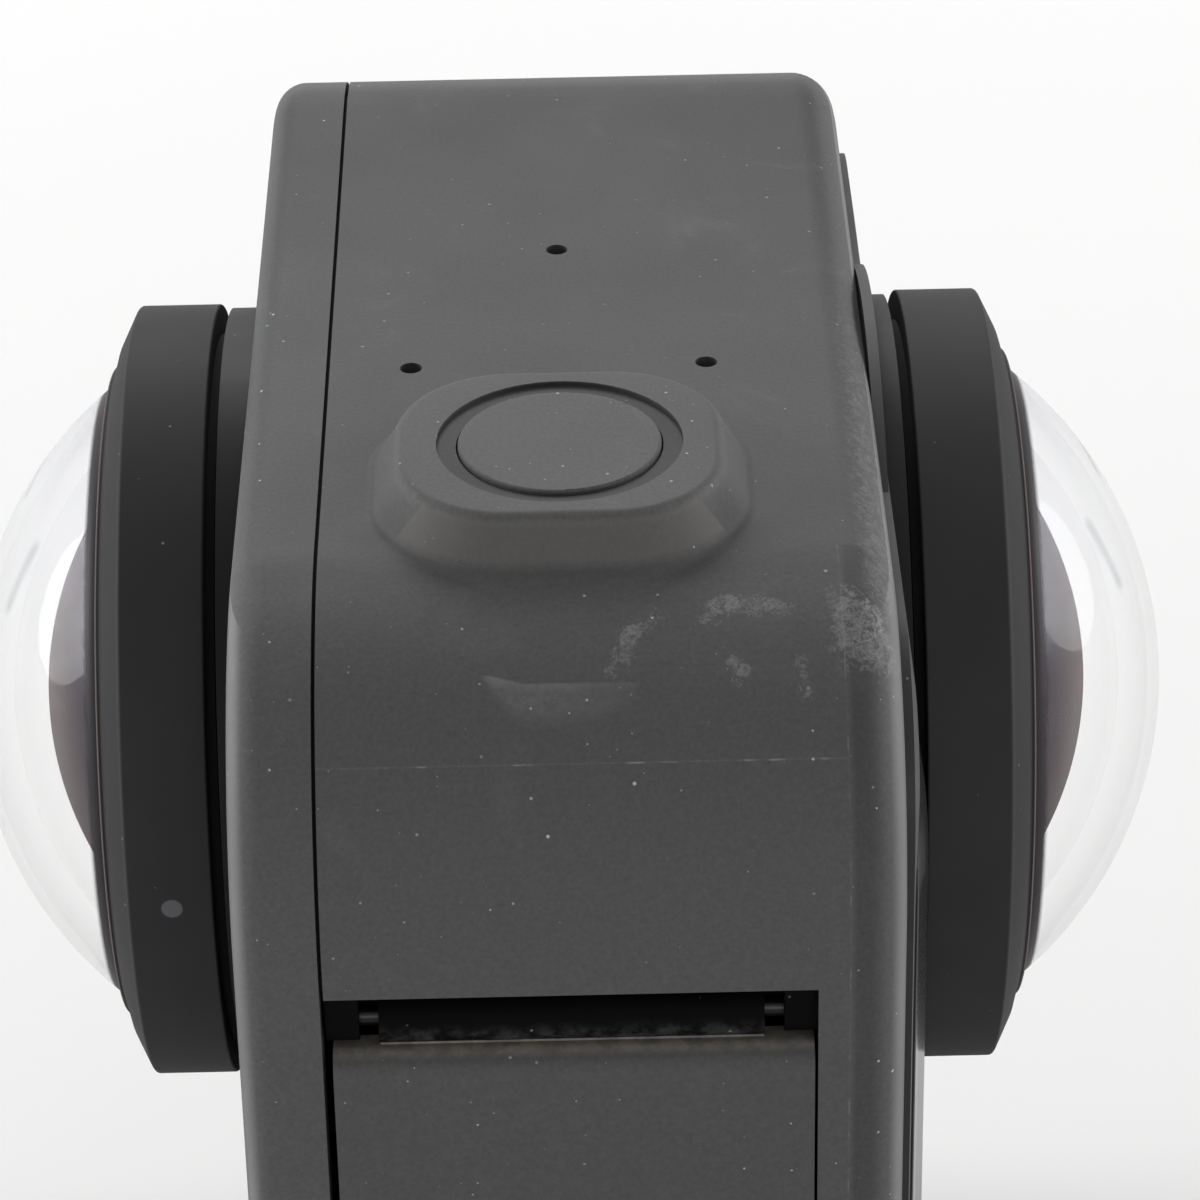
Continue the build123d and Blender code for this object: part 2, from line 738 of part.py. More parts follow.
with BuildPart() as memory_card:
    with BuildSketch(Plane.XZ.offset(-panel_front)):
        with Locations((0, card_z)):
            Rectangle(card_wide, card_thick)
    extrude(amount=-card_long)
save(memory_card, "memory_card")

# Battery door: outer plate, sealing plug and hinge knuckle
door_tall = door_high - door_low
seal_inset = plug_inset - door_seal_wide
latch_low = door_low + latch_high
latch_slot_deep = latch_thick + 2 * latch_slip
knuckle_left = housing_x + lug_thick + knuckle_gap
knuckle_right = door_right - lug_thick - knuckle_gap
with BuildPart() as side_door:
    with BuildSketch(Plane.XZ.offset(side_y)):
        with Locations((door_mid, (door_low + door_high) / 2)):
            Rectangle(door_wide, door_tall)
    extrude(amount=-door_thick)
    top_edges = side_door.edges().filter_by(Axis.X).group_by(Axis.Z)[-1]
    fillet(top_edges.sort_by(Axis.Y)[0], radius=door_edge)
    with BuildSketch(Plane.XZ.offset(side_y - door_thick)):
        with Locations((door_mid, (door_low + door_high) / 2)):
            Rectangle(door_wide - 2 * plug_inset, door_tall - 2 * plug_inset)
    extrude(amount=-plug_deep)
    with BuildSketch(Plane.YZ.offset(knuckle_left)):
        with Locations((pivot_y, pivot_z)):
            Circle(knuckle_radius)
        with Locations((pivot_y, (pivot_z + door_high - door_edge) / 2)):
            Rectangle(web_thick, pivot_z - door_high + door_edge)
        with Locations((pivot_y, pivot_z)):
            Circle(pin_radius + pin_clear, mode=Mode.SUBTRACT)
    extrude(amount=knuckle_right - knuckle_left)
    with BuildSketch(Plane.XZ.offset(side_y)):
        with Locations((door_mid, latch_low - latch_travel - latch_slip)):
            Rectangle(
                latch_wide + 2 * latch_slip,
                latch_tall + latch_travel + 2 * latch_slip,
                align=(Align.CENTER, Align.MIN),
            )
    extrude(amount=-latch_slot_deep, mode=Mode.SUBTRACT)
    with BuildSketch(Plane.XY.offset(door_low)):
        with Locations((door_mid, door_thick / 2 - side_y)):
            Rectangle(tongue_wide + 2 * latch_slip, tongue_thick + 2 * latch_slip)
    extrude(amount=latch_high, mode=Mode.SUBTRACT)
save(side_door, "side_door")

with BuildPart() as door_seal:
    with BuildSketch(Plane.XZ.offset(side_y - door_thick)):
        with Locations((door_mid, (door_low + door_high) / 2)):
            Rectangle(door_wide - 2 * seal_inset, door_tall - 2 * seal_inset)
            Rectangle(door_wide - 2 * plug_inset, door_tall - 2 * plug_inset, mode=Mode.SUBTRACT)
    extrude(amount=-plug_deep / 2)
save(door_seal, "door_seal")

with BuildPart() as door_latch:
    with BuildSketch(Plane.XZ.offset(side_y - latch_slip)):
        with Locations((door_mid, latch_low)):
            Rectangle(latch_wide, latch_tall, align=(Align.CENTER, Align.MIN))
    extrude(amount=-latch_thick)
    with BuildSketch(Plane.XY.offset(latch_low)):
        with Locations((door_mid, door_thick / 2 - side_y)):
            Rectangle(tongue_wide, tongue_thick)
    extrude(amount=door_low - latch_low)
save(door_latch, "door_latch")

with BuildPart() as door_hinge_pin:
    with BuildSketch(Plane.YZ.offset(housing_x)):
        with Locations((pivot_y, pivot_z)):
            Circle(pin_radius)
    extrude(amount=door_right - housing_x)
save(door_hinge_pin, "door_hinge_pin")

# Screen side: bezel plate, glass and display module
bezel_low = bezel_foot
bezel_high = body_tall - bezel_top
bezel_wide = body_wide - 2 * bezel_side
glass_low = bezel_low + glass_foot
glass_high = bezel_high - glass_top
glass_wide = bezel_wide - 2 * glass_side
ring_hole = mount_radius + ring_clear
with BuildPart() as rear_bezel:
    with BuildSketch(Plane.YZ.offset(half_deep)):
        with Locations((0, (bezel_low + bezel_high) / 2)):
            RectangleRounded(bezel_wide, bezel_high - bezel_low, bezel_corner)
    extrude(amount=bezel_thick)
    top_edge = rear_bezel.faces().sort_by(Axis.X)[-1].edges().sort_by(Axis.Z)[-1]
    top_face = rear_bezel.faces().sort_by(Axis.Z)[-1]
    chamfer(top_edge, length=ramp_edge, length2=ramp_long, reference=top_face)
    with BuildSketch(Plane.YZ.offset(half_deep)):
        with Locations((0, (glass_low + glass_high) / 2)):
            RectangleRounded(glass_wide + 2 * slip, glass_high - glass_low + 2 * slip, glass_corner + slip)
        with Locations((0, lens_z)):
            Circle(ring_hole)
    extrude(amount=bezel_thick, mode=Mode.SUBTRACT)
    with BuildSketch(Plane.YZ.offset(half_deep)):
        with Locations((0, lens_z)):
            Circle(ring_hole + ring_lip)
            Circle(ring_hole, mode=Mode.SUBTRACT)
    extrude(amount=ring_lip_tall)
save(rear_bezel, "rear_bezel")

with BuildPart() as screen_glass:
    with BuildSketch(Plane.YZ.offset(half_deep)):
        with Locations((0, (glass_low + glass_high) / 2)):
            RectangleRounded(glass_wide, glass_high - glass_low, glass_corner)
    extrude(amount=bezel_thick + glass_proud)
    top_edge = screen_glass.faces().sort_by(Axis.X)[-1].edges().sort_by(Axis.Z)[-1]
    top_face = screen_glass.faces().sort_by(Axis.Z)[-1]
    chamfer(top_edge, length=glass_ramp, length2=ramp_long, reference=top_face)
    with BuildSketch(Plane.YZ.offset(half_deep)):
        with Locations((0, lens_z)):
            Circle(ring_hole + ring_lip + slip)
    extrude(amount=bezel_thick + glass_proud, mode=Mode.SUBTRACT)
save(screen_glass, "screen_glass")

with BuildPart() as display_module:
    with BuildSketch(Plane.YZ.offset(half_deep)):
        with Locations((0, display_z)):
            Rectangle(display_wide, display_tall)
    extrude(amount=-display_thick)
save(display_module, "display_module")

# Folding fingers, stowed flat in the base and hinged beside the tripod insert
finger_names = {-1: "finger_left", 1: "finger_right"}
for turn, name in finger_names.items():
    with BuildPart() as finger:
        with BuildSketch(Plane.XY.offset(finger_rise)):
            with Locations((0, turn * (finger_y + finger_long))):
                Circle(finger_half)
            with Locations((0, turn * (finger_y + finger_long / 2))):
                Rectangle(2 * finger_half, finger_long)
            with Locations((0, turn * (finger_y + finger_long))):
                Circle(bolt_radius, mode=Mode.SUBTRACT)
        extrude(amount=finger_thick)
        with BuildSketch(Plane.YZ.offset(-finger_half)):
            with Locations((turn * finger_y, finger_z)):
                Circle(finger_thick / 2)
        extrude(amount=2 * finger_half)
        with BuildSketch(Plane.XY.offset(finger_rise)):
            with Locations((0, turn * (finger_y + notch_gap) / 2)):
                Rectangle(2 * notch_half, finger_y + notch_gap + finger_thick)
        extrude(amount=finger_thick, mode=Mode.SUBTRACT)
        with BuildSketch(Plane.YZ.offset(-finger_half)):
            with Locations((turn * finger_y, finger_z)):
                Circle(finger_pin + finger_pin_clear)
        extrude(amount=2 * finger_half, mode=Mode.SUBTRACT)
    save(finger, name)

with BuildPart() as finger_pins:
    for end in (-1, 1):
        with BuildSketch(Plane.YZ.offset(end * (pocket_half + pin_bite))):
            with Locations((-finger_y, finger_z), (finger_y, finger_z)):
                Circle(finger_pin)
        extrude(amount=-end * finger_pin_long)
save(finger_pins, "finger_pins")

with BuildPart() as tripod_insert:
    with BuildSketch(Plane.XY.offset(insert_rise)):
        Circle(insert_radius)
        Circle(insert_bore, mode=Mode.SUBTRACT)
    extrude(amount=insert_tall)
save(tripod_insert, "tripod_insert")


def turned(points, side, mode=Mode.ADD):
    # Turn an outline of (along the axis, radius) points round the lens axis, on the side asked for
    with BuildSketch(Plane.XZ) as profile:
        with BuildLine():
            Polyline(*[(side * along, lens_z + radius) for along, radius in points], close=True)
        make_face()
    revolve(profile.sketch, axis=lens_axis, mode=mode)


def sector(middle, arc, side, start, end, inside, outside, mode=Mode.ADD):
    # A piece of a ring about the lens axis, centred on an angle
    with BuildSketch(spoke_plane(middle - arc / 2)) as section:
        with Locations((side * (start + end) / 2, (inside + outside) / 2)):
            Rectangle(end - start, outside - inside)
    revolve(section.sketch, axis=lens_axis, revolution_arc=arc, mode=mode)


def arc_point(centre, size, side):
    # A point of a sphere's outline, between its tip and its edge
    angle = radians(dome_sample)
    return (side * (centre + size * cos(angle)), lens_z + size * sin(angle))


# Lens stacks, the same on both faces: board, sensor, barrel, lenses, mount, twist ring and dome
board_x = spreader_thick / 2 + spreader_gap
barrel_back = board_x + board_thick
barrel_bore = barrel_radius - barrel_wall
group_x = barrel_back + sensor_thick + group_gap
flange_x = inner_x - flange_thick
mount_face = half_deep + mount_thick
groove_x = mount_face - lip_thick
screw_seat = mount_face - mount_screw_head_tall
skirt_low = half_deep + tab_float
skirt_bore = skirt_radius - skirt_wall
ring_back = mount_face + ring_gap
ring_front = ring_back + ring_straight
rim_x = ring_front + ring_slope + rim_deep
ring_bore = dome_edge + seat_clear
dome_shoulder = rim_x - dome_drop
dome_back = dome_shoulder - dome_seat
dome_centre = dome_shoulder - sqrt(dome_radius**2 - dome_edge**2)
dome_reach = dome_centre + dome_radius
dome_inner = dome_radius - dome_thick
barrel_front = dome_back - barrel_gap
retainer_high = barrel_front + retainer_tall
lens_back = barrel_front - inner_lens_seat
inner_lens_reach = dome_centre + dome_inner - inner_lens_gap
lens_centre = inner_lens_reach - inner_lens_radius
tab_spots = [360 * number / tab_count for number in range(tab_count)]
screw_spots = [360 * (number + 1 / 2) / mount_screw_count for number in range(mount_screw_count)]

for stack, side in (("front", -1), ("rear", 1)):
    with BuildPart() as sensor_board:
        with BuildSketch(Plane.YZ.offset(side * board_x)):
            with Locations((0, lens_z)):
                RectangleRounded(sensor_board_side, sensor_board_side, board_corner)
        extrude(amount=side * board_thick)
    save(sensor_board, f"{stack}_sensor_board")

    with BuildPart() as sensor:
        with BuildSketch(Plane.YZ.offset(side * barrel_back)):
            with Locations((0, lens_z)):
                Rectangle(sensor_side, sensor_side)
        extrude(amount=side * sensor_thick)
    save(sensor, f"{stack}_sensor")

    with BuildPart() as lens_barrel:
        turned(
            [
                (barrel_back, barrel_bore),
                (barrel_back, barrel_radius),
                (flange_x, barrel_radius),
                (flange_x, mount_radius),
                (inner_x, mount_radius),
                (inner_x, barrel_radius),
                (barrel_front, barrel_radius),
                (barrel_front, inner_lens_edge + seat_clear),
                (lens_back, inner_lens_edge + seat_clear),
                (lens_back, barrel_bore),
            ],
            side,
        )
        with BuildSketch(Plane.YZ.offset(side * flange_x)):
            with Locations((0, lens_z)):
                with PolarLocations(mount_screw_ring, mount_screw_count, start_angle=screw_spots[0]):
                    Circle(mount_screw_radius)
        extrude(amount=side * flange_thick, mode=Mode.SUBTRACT)
    save(lens_barrel, f"{stack}_lens_barrel")

    with BuildPart() as lens_group:
        with BuildSketch(Plane.YZ.offset(side * group_x)):
            with Locations((0, lens_z)):
                Circle(barrel_bore - seat_clear)
        extrude(amount=side * group_thick)
    save(lens_group, f"{stack}_lens_group")

    with BuildPart() as inner_lens:
        with BuildSketch(Plane.XZ) as profile:
            with BuildLine():
                tip = (side * inner_lens_reach, lens_z)
                sphere_edge = side * (lens_centre + sqrt(inner_lens_radius**2 - inner_lens_edge**2))
                shoulder = (sphere_edge, lens_z + inner_lens_edge)
                ThreePointArc(tip, arc_point(lens_centre, inner_lens_radius, side), shoulder)
                Polyline(
                    shoulder,
                    (side * lens_back, lens_z + inner_lens_edge),
                    (side * lens_back, lens_z),
                    tip,
                )
            make_face()
        revolve(axis=lens_axis)
    save(inner_lens, f"{stack}_inner_lens")

    with BuildPart() as retainer:
        turned(
            [
                (barrel_front, inner_lens_edge + seat_clear),
                (barrel_front, barrel_radius),
                (retainer_high, retainer_top_radius),
                (retainer_high, inner_lens_edge + seat_clear),
            ],
            side,
        )
    save(retainer, f"{stack}_retainer")

    with BuildPart() as mount_ring:
        turned(
            [
                (half_deep, groove_radius),
                (half_deep, mount_radius),
                (mount_face, mount_radius),
                (mount_face, lip_radius),
                (groove_x, lip_radius),
                (groove_x, groove_radius),
            ],
            side,
        )
        for spot in tab_spots:
            slot_middle = spot + side * twist_angle
            slot = (slot_middle, slot_angle, side, groove_x, mount_face, skirt_radius, groove_radius)
            sector(*slot, mode=Mode.SUBTRACT)
        for hole_x, hole_radius in ((half_deep, mount_screw_radius), (screw_seat, mount_screw_head)):
            with BuildSketch(Plane.YZ.offset(side * hole_x)):
                with Locations((0, lens_z)):
                    with PolarLocations(mount_screw_ring, mount_screw_count, start_angle=screw_spots[0]):
                        Circle(hole_radius)
            extrude(amount=side * (mount_face - hole_x), mode=Mode.SUBTRACT)
    save(mount_ring, f"{stack}_mount_ring")

    with BuildPart() as mount_screws:
        for end_x, end_radius in ((flange_x, mount_screw_radius), (screw_seat, mount_screw_head)):
            with BuildSketch(Plane.YZ.offset(side * end_x)):
                with Locations((0, lens_z)):
                    with PolarLocations(mount_screw_ring, mount_screw_count, start_angle=screw_spots[0]):
                        Circle(end_radius)
            extrude(amount=side * (mount_face - end_x))
    save(mount_screws, f"{stack}_mount_screws")

    with BuildPart() as lens_ring:
        turned(
            [
                (skirt_low, skirt_bore),
                (skirt_low, skirt_radius),
                (ring_back, skirt_radius),
                (ring_back, ring_radius),
                (ring_front, ring_radius),
                (rim_x - rim_deep, ring_bore + rim_wide),
                (rim_x, ring_bore + rim_wide),
                (rim_x, ring_bore),
                (dome_back, ring_bore),
                (dome_back, skirt_bore),
            ],
            side,
        )
        outer_edges = lens_ring.faces().filter_by(GeomType.CYLINDER).sort_by(SortBy.AREA)[-1].edges()
        fillet(outer_edges.filter_by(GeomType.CIRCLE), radius=ring_edge)
        for spot in tab_spots:
            tab_top = skirt_radius + tab_tall
            tab_front = skirt_low + tab_thick
            sector(spot, tab_angle, side, skirt_low, tab_front, skirt_radius - seat_clear, tab_top)
    save(lens_ring, f"{stack}_lens_ring")

    with BuildPart() as ring_seal:
        with BuildSketch(Plane.YZ.offset(side * ring_back)):
            with Locations((0, lens_z)):
                Circle(seal_radius)
                Circle(bore_radius, mode=Mode.SUBTRACT)
        extrude(amount=-side * seal_thick)
    save(ring_seal, f"{stack}_ring_seal")

    with BuildPart() as dome:
        with BuildSketch(Plane.XZ) as profile:
            with BuildLine():
                outer_tip = (side * dome_reach, lens_z)
                inner_tip = (side * (dome_reach - dome_thick), lens_z)
                inner_edge = sqrt(dome_inner**2 - (dome_back - dome_centre) ** 2)
                shoulder = (side * dome_shoulder, lens_z + dome_edge)
                foot = (side * dome_back, lens_z + inner_edge)
                ThreePointArc(outer_tip, arc_point(dome_centre, dome_radius, side), shoulder)
                Polyline(shoulder, (side * dome_back, lens_z + dome_edge), foot)
                ThreePointArc(foot, arc_point(dome_centre, dome_inner, side), inner_tip)
                Line(inner_tip, outer_tip)
            make_face()
        revolve(axis=lens_axis)
    save(dome, f"{stack}_dome")
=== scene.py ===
import json
import math

import bmesh
import bpy
from mathutils import Matrix, Vector

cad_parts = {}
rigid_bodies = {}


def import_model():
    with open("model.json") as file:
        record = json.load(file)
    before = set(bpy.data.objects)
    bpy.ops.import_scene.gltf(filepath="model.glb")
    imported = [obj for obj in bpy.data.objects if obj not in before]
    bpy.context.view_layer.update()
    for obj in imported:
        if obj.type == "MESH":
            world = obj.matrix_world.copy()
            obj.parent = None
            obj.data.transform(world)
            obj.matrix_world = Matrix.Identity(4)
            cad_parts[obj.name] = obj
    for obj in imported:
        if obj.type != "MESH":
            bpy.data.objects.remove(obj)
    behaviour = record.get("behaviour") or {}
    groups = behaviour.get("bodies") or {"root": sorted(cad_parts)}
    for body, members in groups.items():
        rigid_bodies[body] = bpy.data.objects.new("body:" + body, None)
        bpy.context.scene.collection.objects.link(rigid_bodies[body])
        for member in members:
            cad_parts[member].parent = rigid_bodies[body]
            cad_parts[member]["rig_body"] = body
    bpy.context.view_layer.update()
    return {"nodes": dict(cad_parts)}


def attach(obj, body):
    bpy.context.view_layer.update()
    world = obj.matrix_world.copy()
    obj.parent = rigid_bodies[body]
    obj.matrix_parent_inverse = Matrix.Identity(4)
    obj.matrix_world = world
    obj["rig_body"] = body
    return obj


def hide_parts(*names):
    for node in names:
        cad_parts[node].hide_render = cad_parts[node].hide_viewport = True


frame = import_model()
nodes = frame["nodes"]
mm = 0.001
lensHeight = 49.8  # of the lens axis over the base, in mm as all lengths below
domeCentre = 8.673  # along the lens axis from the middle
print("frame loaded:", len(nodes), "nodes")


# Camera, at the angle the photograph was taken from
photoCamera = {
    "place": (0.5473, -183.294, 163.685),
    "down": 30.947,  # angles in degrees
    "yaw": 0.3028,
    "roll": -1.0883,
    "focal": 150.334,
    "sensor": 36.0,
}


def setCamera(look):
    down, yaw, roll = (math.radians(look[key]) for key in ("down", "yaw", "roll"))
    ahead = Vector((math.sin(yaw) * math.cos(down), math.cos(yaw) * math.cos(down), -math.sin(down)))
    level = ahead.cross(Vector((0, 0, 1))).normalized()
    upright = level.cross(ahead)
    right = math.cos(roll) * level + math.sin(roll) * upright
    up = -math.sin(roll) * level + math.cos(roll) * upright
    data = bpy.data.cameras.new("photoCamera")
    data.lens, data.sensor_width = look["focal"], look["sensor"]
    data.clip_start, data.clip_end = 0.01, 50
    camera = bpy.data.objects.new("photoCamera", data)
    turned = Matrix((right, up, -ahead)).transposed().to_4x4()
    camera.matrix_world = Matrix.Translation(Vector(look["place"]) * mm) @ turned
    bpy.context.scene.collection.objects.link(camera)
    bpy.context.scene.camera = camera


setCamera(photoCamera)


# Materials
class Wire:  # a node's output that can take part in Python sums
    def __init__(self, tree, socket):
        self.tree, self.socket = tree, socket

    def node(self, kind, values, output=0, **settings):
        made = self.tree.nodes.new(kind)
        for key, value in settings.items():
            setattr(made, key, value)
        for key, value in values.items():
            if isinstance(value, Wire):
                self.tree.links.new(value.socket, made.inputs[key])
            else:
                made.inputs[key].default_value = value
        return Wire(self.tree, made.outputs[output])

    def sibling(self, output):  # another output of the same node
        return Wire(self.tree, self.socket.node.outputs[output])

    def sum(self, operation, *others):
        return self.node("ShaderNodeMath", dict(enumerate((self, *others))), operation=operation)

    def __add__(self, other):
        return self.sum("ADD", other)

    def __sub__(self, other):
        return self.sum("SUBTRACT", other)

    def __mul__(self, other):
        return self.sum("MULTIPLY", other)

    def __truediv__(self, other):
        return self.sum("DIVIDE", other)

    def __rsub__(self, other):
        return self.node("ShaderNodeMath", {0: other, 1: self}, operation="SUBTRACT")

    __radd__, __rmul__ = __add__, __mul__

    def __lt__(self, other):
        return self.sum("LESS_THAN", other)

    def __gt__(self, other):
        return self.sum("GREATER_THAN", other)

    def atMost(self, top):
        return self.sum("MINIMUM", top)

    def atLeast(self, bottom):
        return self.sum("MAXIMUM", bottom)

    def unsigned(self):
        return self.sum("ABSOLUTE")

    def spread(self, least, more):  # least where this wire is 0, with more added where it is 1
        return least + self * more

    def fade(self, low, high):  # 0 below low, 1 above high, smooth between
        values = {0: self, 1: low, 2: high, 3: 0.0, 4: 1.0}
        return self.node("ShaderNodeMapRange", values, interpolation_type="SMOOTHSTEP")

    def fadeOut(self, low, high):  # 1 below low, 0 above high
        return 1.0 - self.fade(low, high)

    def band(self, rise, fall):  # 1 between two fades, 0 outside them
        return self.fade(*rise) * self.fadeOut(*fall)

    def mixed(self, first, second):  # self picks between two colours
        first, second = (end if isinstance(end, Wire) else (*end, 1) for end in (first, second))
        return self.node("ShaderNodeMix", {0: self, 6: first, 7: second}, output=2, data_type="RGBA")

    def times(self, vector):  # a colour or a vector, all its parts times this wire
        return self.node("ShaderNodeVectorMath", {0: vector, 3: self}, operation="SCALE")

    def relief(self, strength):  # the bump of a height in mm
        return self.node("ShaderNodeBump", {"Strength": strength, "Distance": mm, "Height": self})

    def away(self, point):  # distance from a point, in this wire's own units
        return self.node("ShaderNodeVectorMath", {0: self, 1: point}, output=1, operation="DISTANCE")

    def stroke(self, start, end):  # distance from a straight stroke between two points
        run = Vector(end) - Vector(start)
        local = self.node("ShaderNodeVectorMath", {0: self, 1: start}, operation="SUBTRACT")
        share = self.node("ShaderNodeVectorMath", {0: local, 1: run}, output=1, operation="DOT_PRODUCT")
        return local.away((share / run.length_squared).atLeast(0.0).atMost(1.0).times(run))

    def parts(self):
        split = self.node("ShaderNodeSeparateXYZ", {0: self})
        return [split.sibling(index) for index in range(3)]


def startMaterial(name, specular=0.5):  # place is the point on the object, in mm
    material = bpy.data.materials.new(name)
    material.use_nodes = True
    tree = material.node_tree
    shader = tree.nodes["Principled BSDF"]
    shader.inputs["Specular IOR Level"].default_value = specular
    inMetres = Wire(tree, tree.nodes.new("ShaderNodeTexCoord").outputs["Object"])
    place = inMetres.node("ShaderNodeVectorMath", {0: inMetres, 3: 1 / mm}, operation="SCALE")
    return material, shader, place


socketNames = {"colour": "Base Color", "roughness": "Roughness", "normal": "Normal", "metallic": "Metallic"}


def join(shader, **wires):
    for key, wire in wires.items():
        socket = shader.inputs[socketNames[key]]
        if isinstance(wire, Wire):
            wire.tree.links.new(wire.socket, socket)
        else:
            socket.default_value = wire


def overlay(material, factor, kind, values):  # a second shader over the first where the factor says
    tree = material.node_tree
    second, mix = tree.nodes.new(kind), tree.nodes.new("ShaderNodeMixShader")
    for key, value in values.items():
        second.inputs[key].default_value = value
    if isinstance(factor, Wire):
        tree.links.new(factor.socket, mix.inputs[0])
    else:
        mix.inputs[0].default_value = factor
    surface = tree.nodes["Material Output"].inputs["Surface"]
    tree.links.new(surface.links[0].from_socket, mix.inputs[1])
    tree.links.new(second.outputs[0], mix.inputs[2])
    tree.links.new(mix.outputs[0], surface)


def film(material, factor, colour, roughness, specular):  # a thin opaque layer where the factor says
    values = {"Base Color": (*colour, 1), "Roughness": roughness, "Specular IOR Level": specular}
    overlay(material, factor, "ShaderNodeBsdfPrincipled", values)


def noise(place, scale, detail=3.0, rough=0.55, distortion=0.0):
    values = {"Vector": place, "Scale": scale, "Detail": detail, "Roughness": rough, "Distortion": distortion}
    return place.node("ShaderNodeTexNoise", values)


dustDot = {"size": (0.45, 0.55), "edge": (0.4, 1.0), "strength": (0.25, 0.75)}


def specks(place, spacing, share, radius):  # dust: a small dot in a share of the cells
    values = {"Vector": place, "Scale": 1 / spacing, "Randomness": 1.0}
    dots = place.node("ShaderNodeTexVoronoi", values, feature="F1")
    chance, width, strength = dots.sibling("Color").parts()
    size = width.spread(*dustDot["size"]) * (radius / spacing)
    dot = (dots / size).fadeOut(*dustDot["edge"]) * strength.spread(*dustDot["strength"])
    return (chance < share) * dot


softTouch = {
    "colour": (0.075, 0.075, 0.0765),
    "tone": {"least": 0.565, "cloud": 0.11, "grain": 0.76},
    "smear": {"fade": (0.55, 0.8), "shade": 0.08},
    "grainHeight": 0.008,
    "specular": 0.3,
    "roughness": {"plain": 0.62, "cloud": 0.1, "wearAndHighlight": 0.12},
    "dust": (0.55, 0.54, 0.52),
    "wearAndHighlight": (0.21, 0.21, 0.21),
    "sideFrom": -20.0,  # the narrow side lies before this, the top behind it
    "edges": {  # painted highlight: the rounded side edges are lit paler, the flat faces beside them aren't
        "near": (11.9, 12.35),
        "face": (12.42, 12.59),
        "left": 0.12,
        "under": 67.0,
        "shade": (0.3, 0.5),
    },
    # painted shade: the top is darker, more so towards the back
    "roof": {
        "height": (67.6, 67.95),
        "pad": (68.05, 68.25),
        "along": (-8.0, 22.0),
        "shade": (0.22, 0.26),
        "lessDust": 0.65,
    },
    "roofEdge": {
        "across": (10.9, 11.7),
        "along": (-12.0, 10.0),
        "above": 66.6,
        "fuller": 0.75,
        "shade": 0.5,
        "most": 0.6,
    },
    # painted shade in the button's moat
    "moat": {"middle": (0.0, -15.05, 69.8), "radius": 4.9, "under": 69.95, "deep": 0.6, "shade": 0.5},
    # painted light: the pad's front slope is lit paler, with a warm tint
    "slope": {
        "front": -19.3,
        "foot": (68.2, 68.5),
        "crest": (69.65, 69.85),
        "paintedLight": (0.12, 0.115, 0.105),
        "share": 0.5,
    },
    "padRim": {"rise": (69.45, 69.7), "fall": (69.9, 69.98), "shade": 0.14},
    # painted shade on the pad's front corners
    "padCorners": {  # each corner's middle, reach and shade
        "spots": [((6.9, -18.9, 68.9), 2.1, 0.5), ((-7.1, -18.9, 68.9), 1.9, 0.35)],
        "full": 0.2,
        "crest": (69.6, 69.85),
    },
    # painted shade in a band on the rounded side, beside the moulding line
    "flank": {"start": (10.4, 10.7), "end": (11.15, 11.95), "shade": 0.34},  # beside the moulding line
    "parting": {  # where the two mould halves meet, on the side's front and along its edge
        "height": 63.8,
        "heightWide": (0.012, 0.04),
        "across": 10.4,
        "acrossWide": (0.012, 0.05),
        "wander": 0.05,
        "levelPatches": (0.5, 0.66),
        "levelShade": (0.12, 0.75),
        "uprightPatches": (0.5, 0.62),
        "uprightShade": (0.06, 0.3),
    },
    "moon": {  # a pressed crescent on the rounded corner, whose centre is at back and level
        "back": -19.5,
        "level": 56.5,
        "radius": 11.5,
        "middle": -0.15,
        "halfWide": 3.0,
        "top": 0.957,  # as an angle round the corner, in radians
        "rise": {"along": (0.35, 1.0), "height": 0.4},
        "tall": 1.75,
        "tips": 0.05,
        "deep": 0.08,
        "above": 60.0,
        "upperEdge": (-0.08, 0.06),
        "lowerEdge": (-0.1, 0.9),
        "patches": {"middle": 0.8, "range": 2.4, "least": 0.1},
        "shade": {"most": 0.3, "along": (-0.6, 1.0), "less": 0.6},
        "rim": {"rise": (-0.06, 0.03), "fall": (0.03, 0.5), "ends": (0.7, 1.0)},
        "rimShade": {"most": 0.36, "along": (-0.3, 1.0), "less": 0.75},
    },
    "ragged": {"streak": 4.2, "speckle": 2.0, "less": 0.5},
    "scuffing": {
        "reach": 1.5,  # in half widths
        "most": 1.1,
        "raggedWithin": (0.0, 0.25),
        "outline": (0.0, 0.15),
        "shade": 0.72,
    },
    "scuffs": [  # a stroke's two ends, half width, strength
        ((5.3, -23.8, 67.15), (5.9, -23.2, 67.4), 0.5, 0.8),
        ((5.9, -23.15, 67.4), (8.1, -23.3, 67.36), 0.55, 1.0),
        ((3.5, -23.6, 67.25), (2.5, -24.4, 66.9), 0.5, 0.7),
        ((2.5, -24.4, 66.9), (1.9, -25.6, 66.25), 0.55, 0.8),
        ((6.2, -25.5, 66.33), (6.65, -25.8, 66.1), 0.32, 0.9),
        ((6.65, -25.8, 66.1), (6.4, -26.15, 65.9), 0.32, 0.9),
        ((8.8, -25.5, 66.3), (8.95, -26.6, 65.55), 0.35, 0.8),
        ((10.5, -23.0, 67.45), (11.2, -24.3, 66.95), 0.9, 0.8),
        ((10.9, -24.0, 67.05), (12.1, -25.3, 66.4), 1.1, 1.2),
        ((10.5, -25.0, 66.55), (10.8, -25.5, 66.3), 0.8, 0.7),
    ],
    "recess": {  # painted shade in the slot over the door: down to the pocket on the body, to the knuckle on the door
        "wide": 9.28,
        "front": -30.7,
        "back": -22.0,
        "top": 55.3,
        "pocket": 9.35,
        "knuckle": 52.6,
        "colour": (0.0025, 0.0025, 0.003),
        "lessInDust": 0.5,
    },
    "doorTop": {  # settled dust, on the door's top edge and low on the barrel behind it
        "height": (52.2, 52.5),
        "patches": (0.38, 0.66),
        "share": (0.45, 0.45),
        "barrel": (53.0, 53.9),
        "barrelShare": 0.4,
        "dust": (0.27, 0.245, 0.215),
    },
}


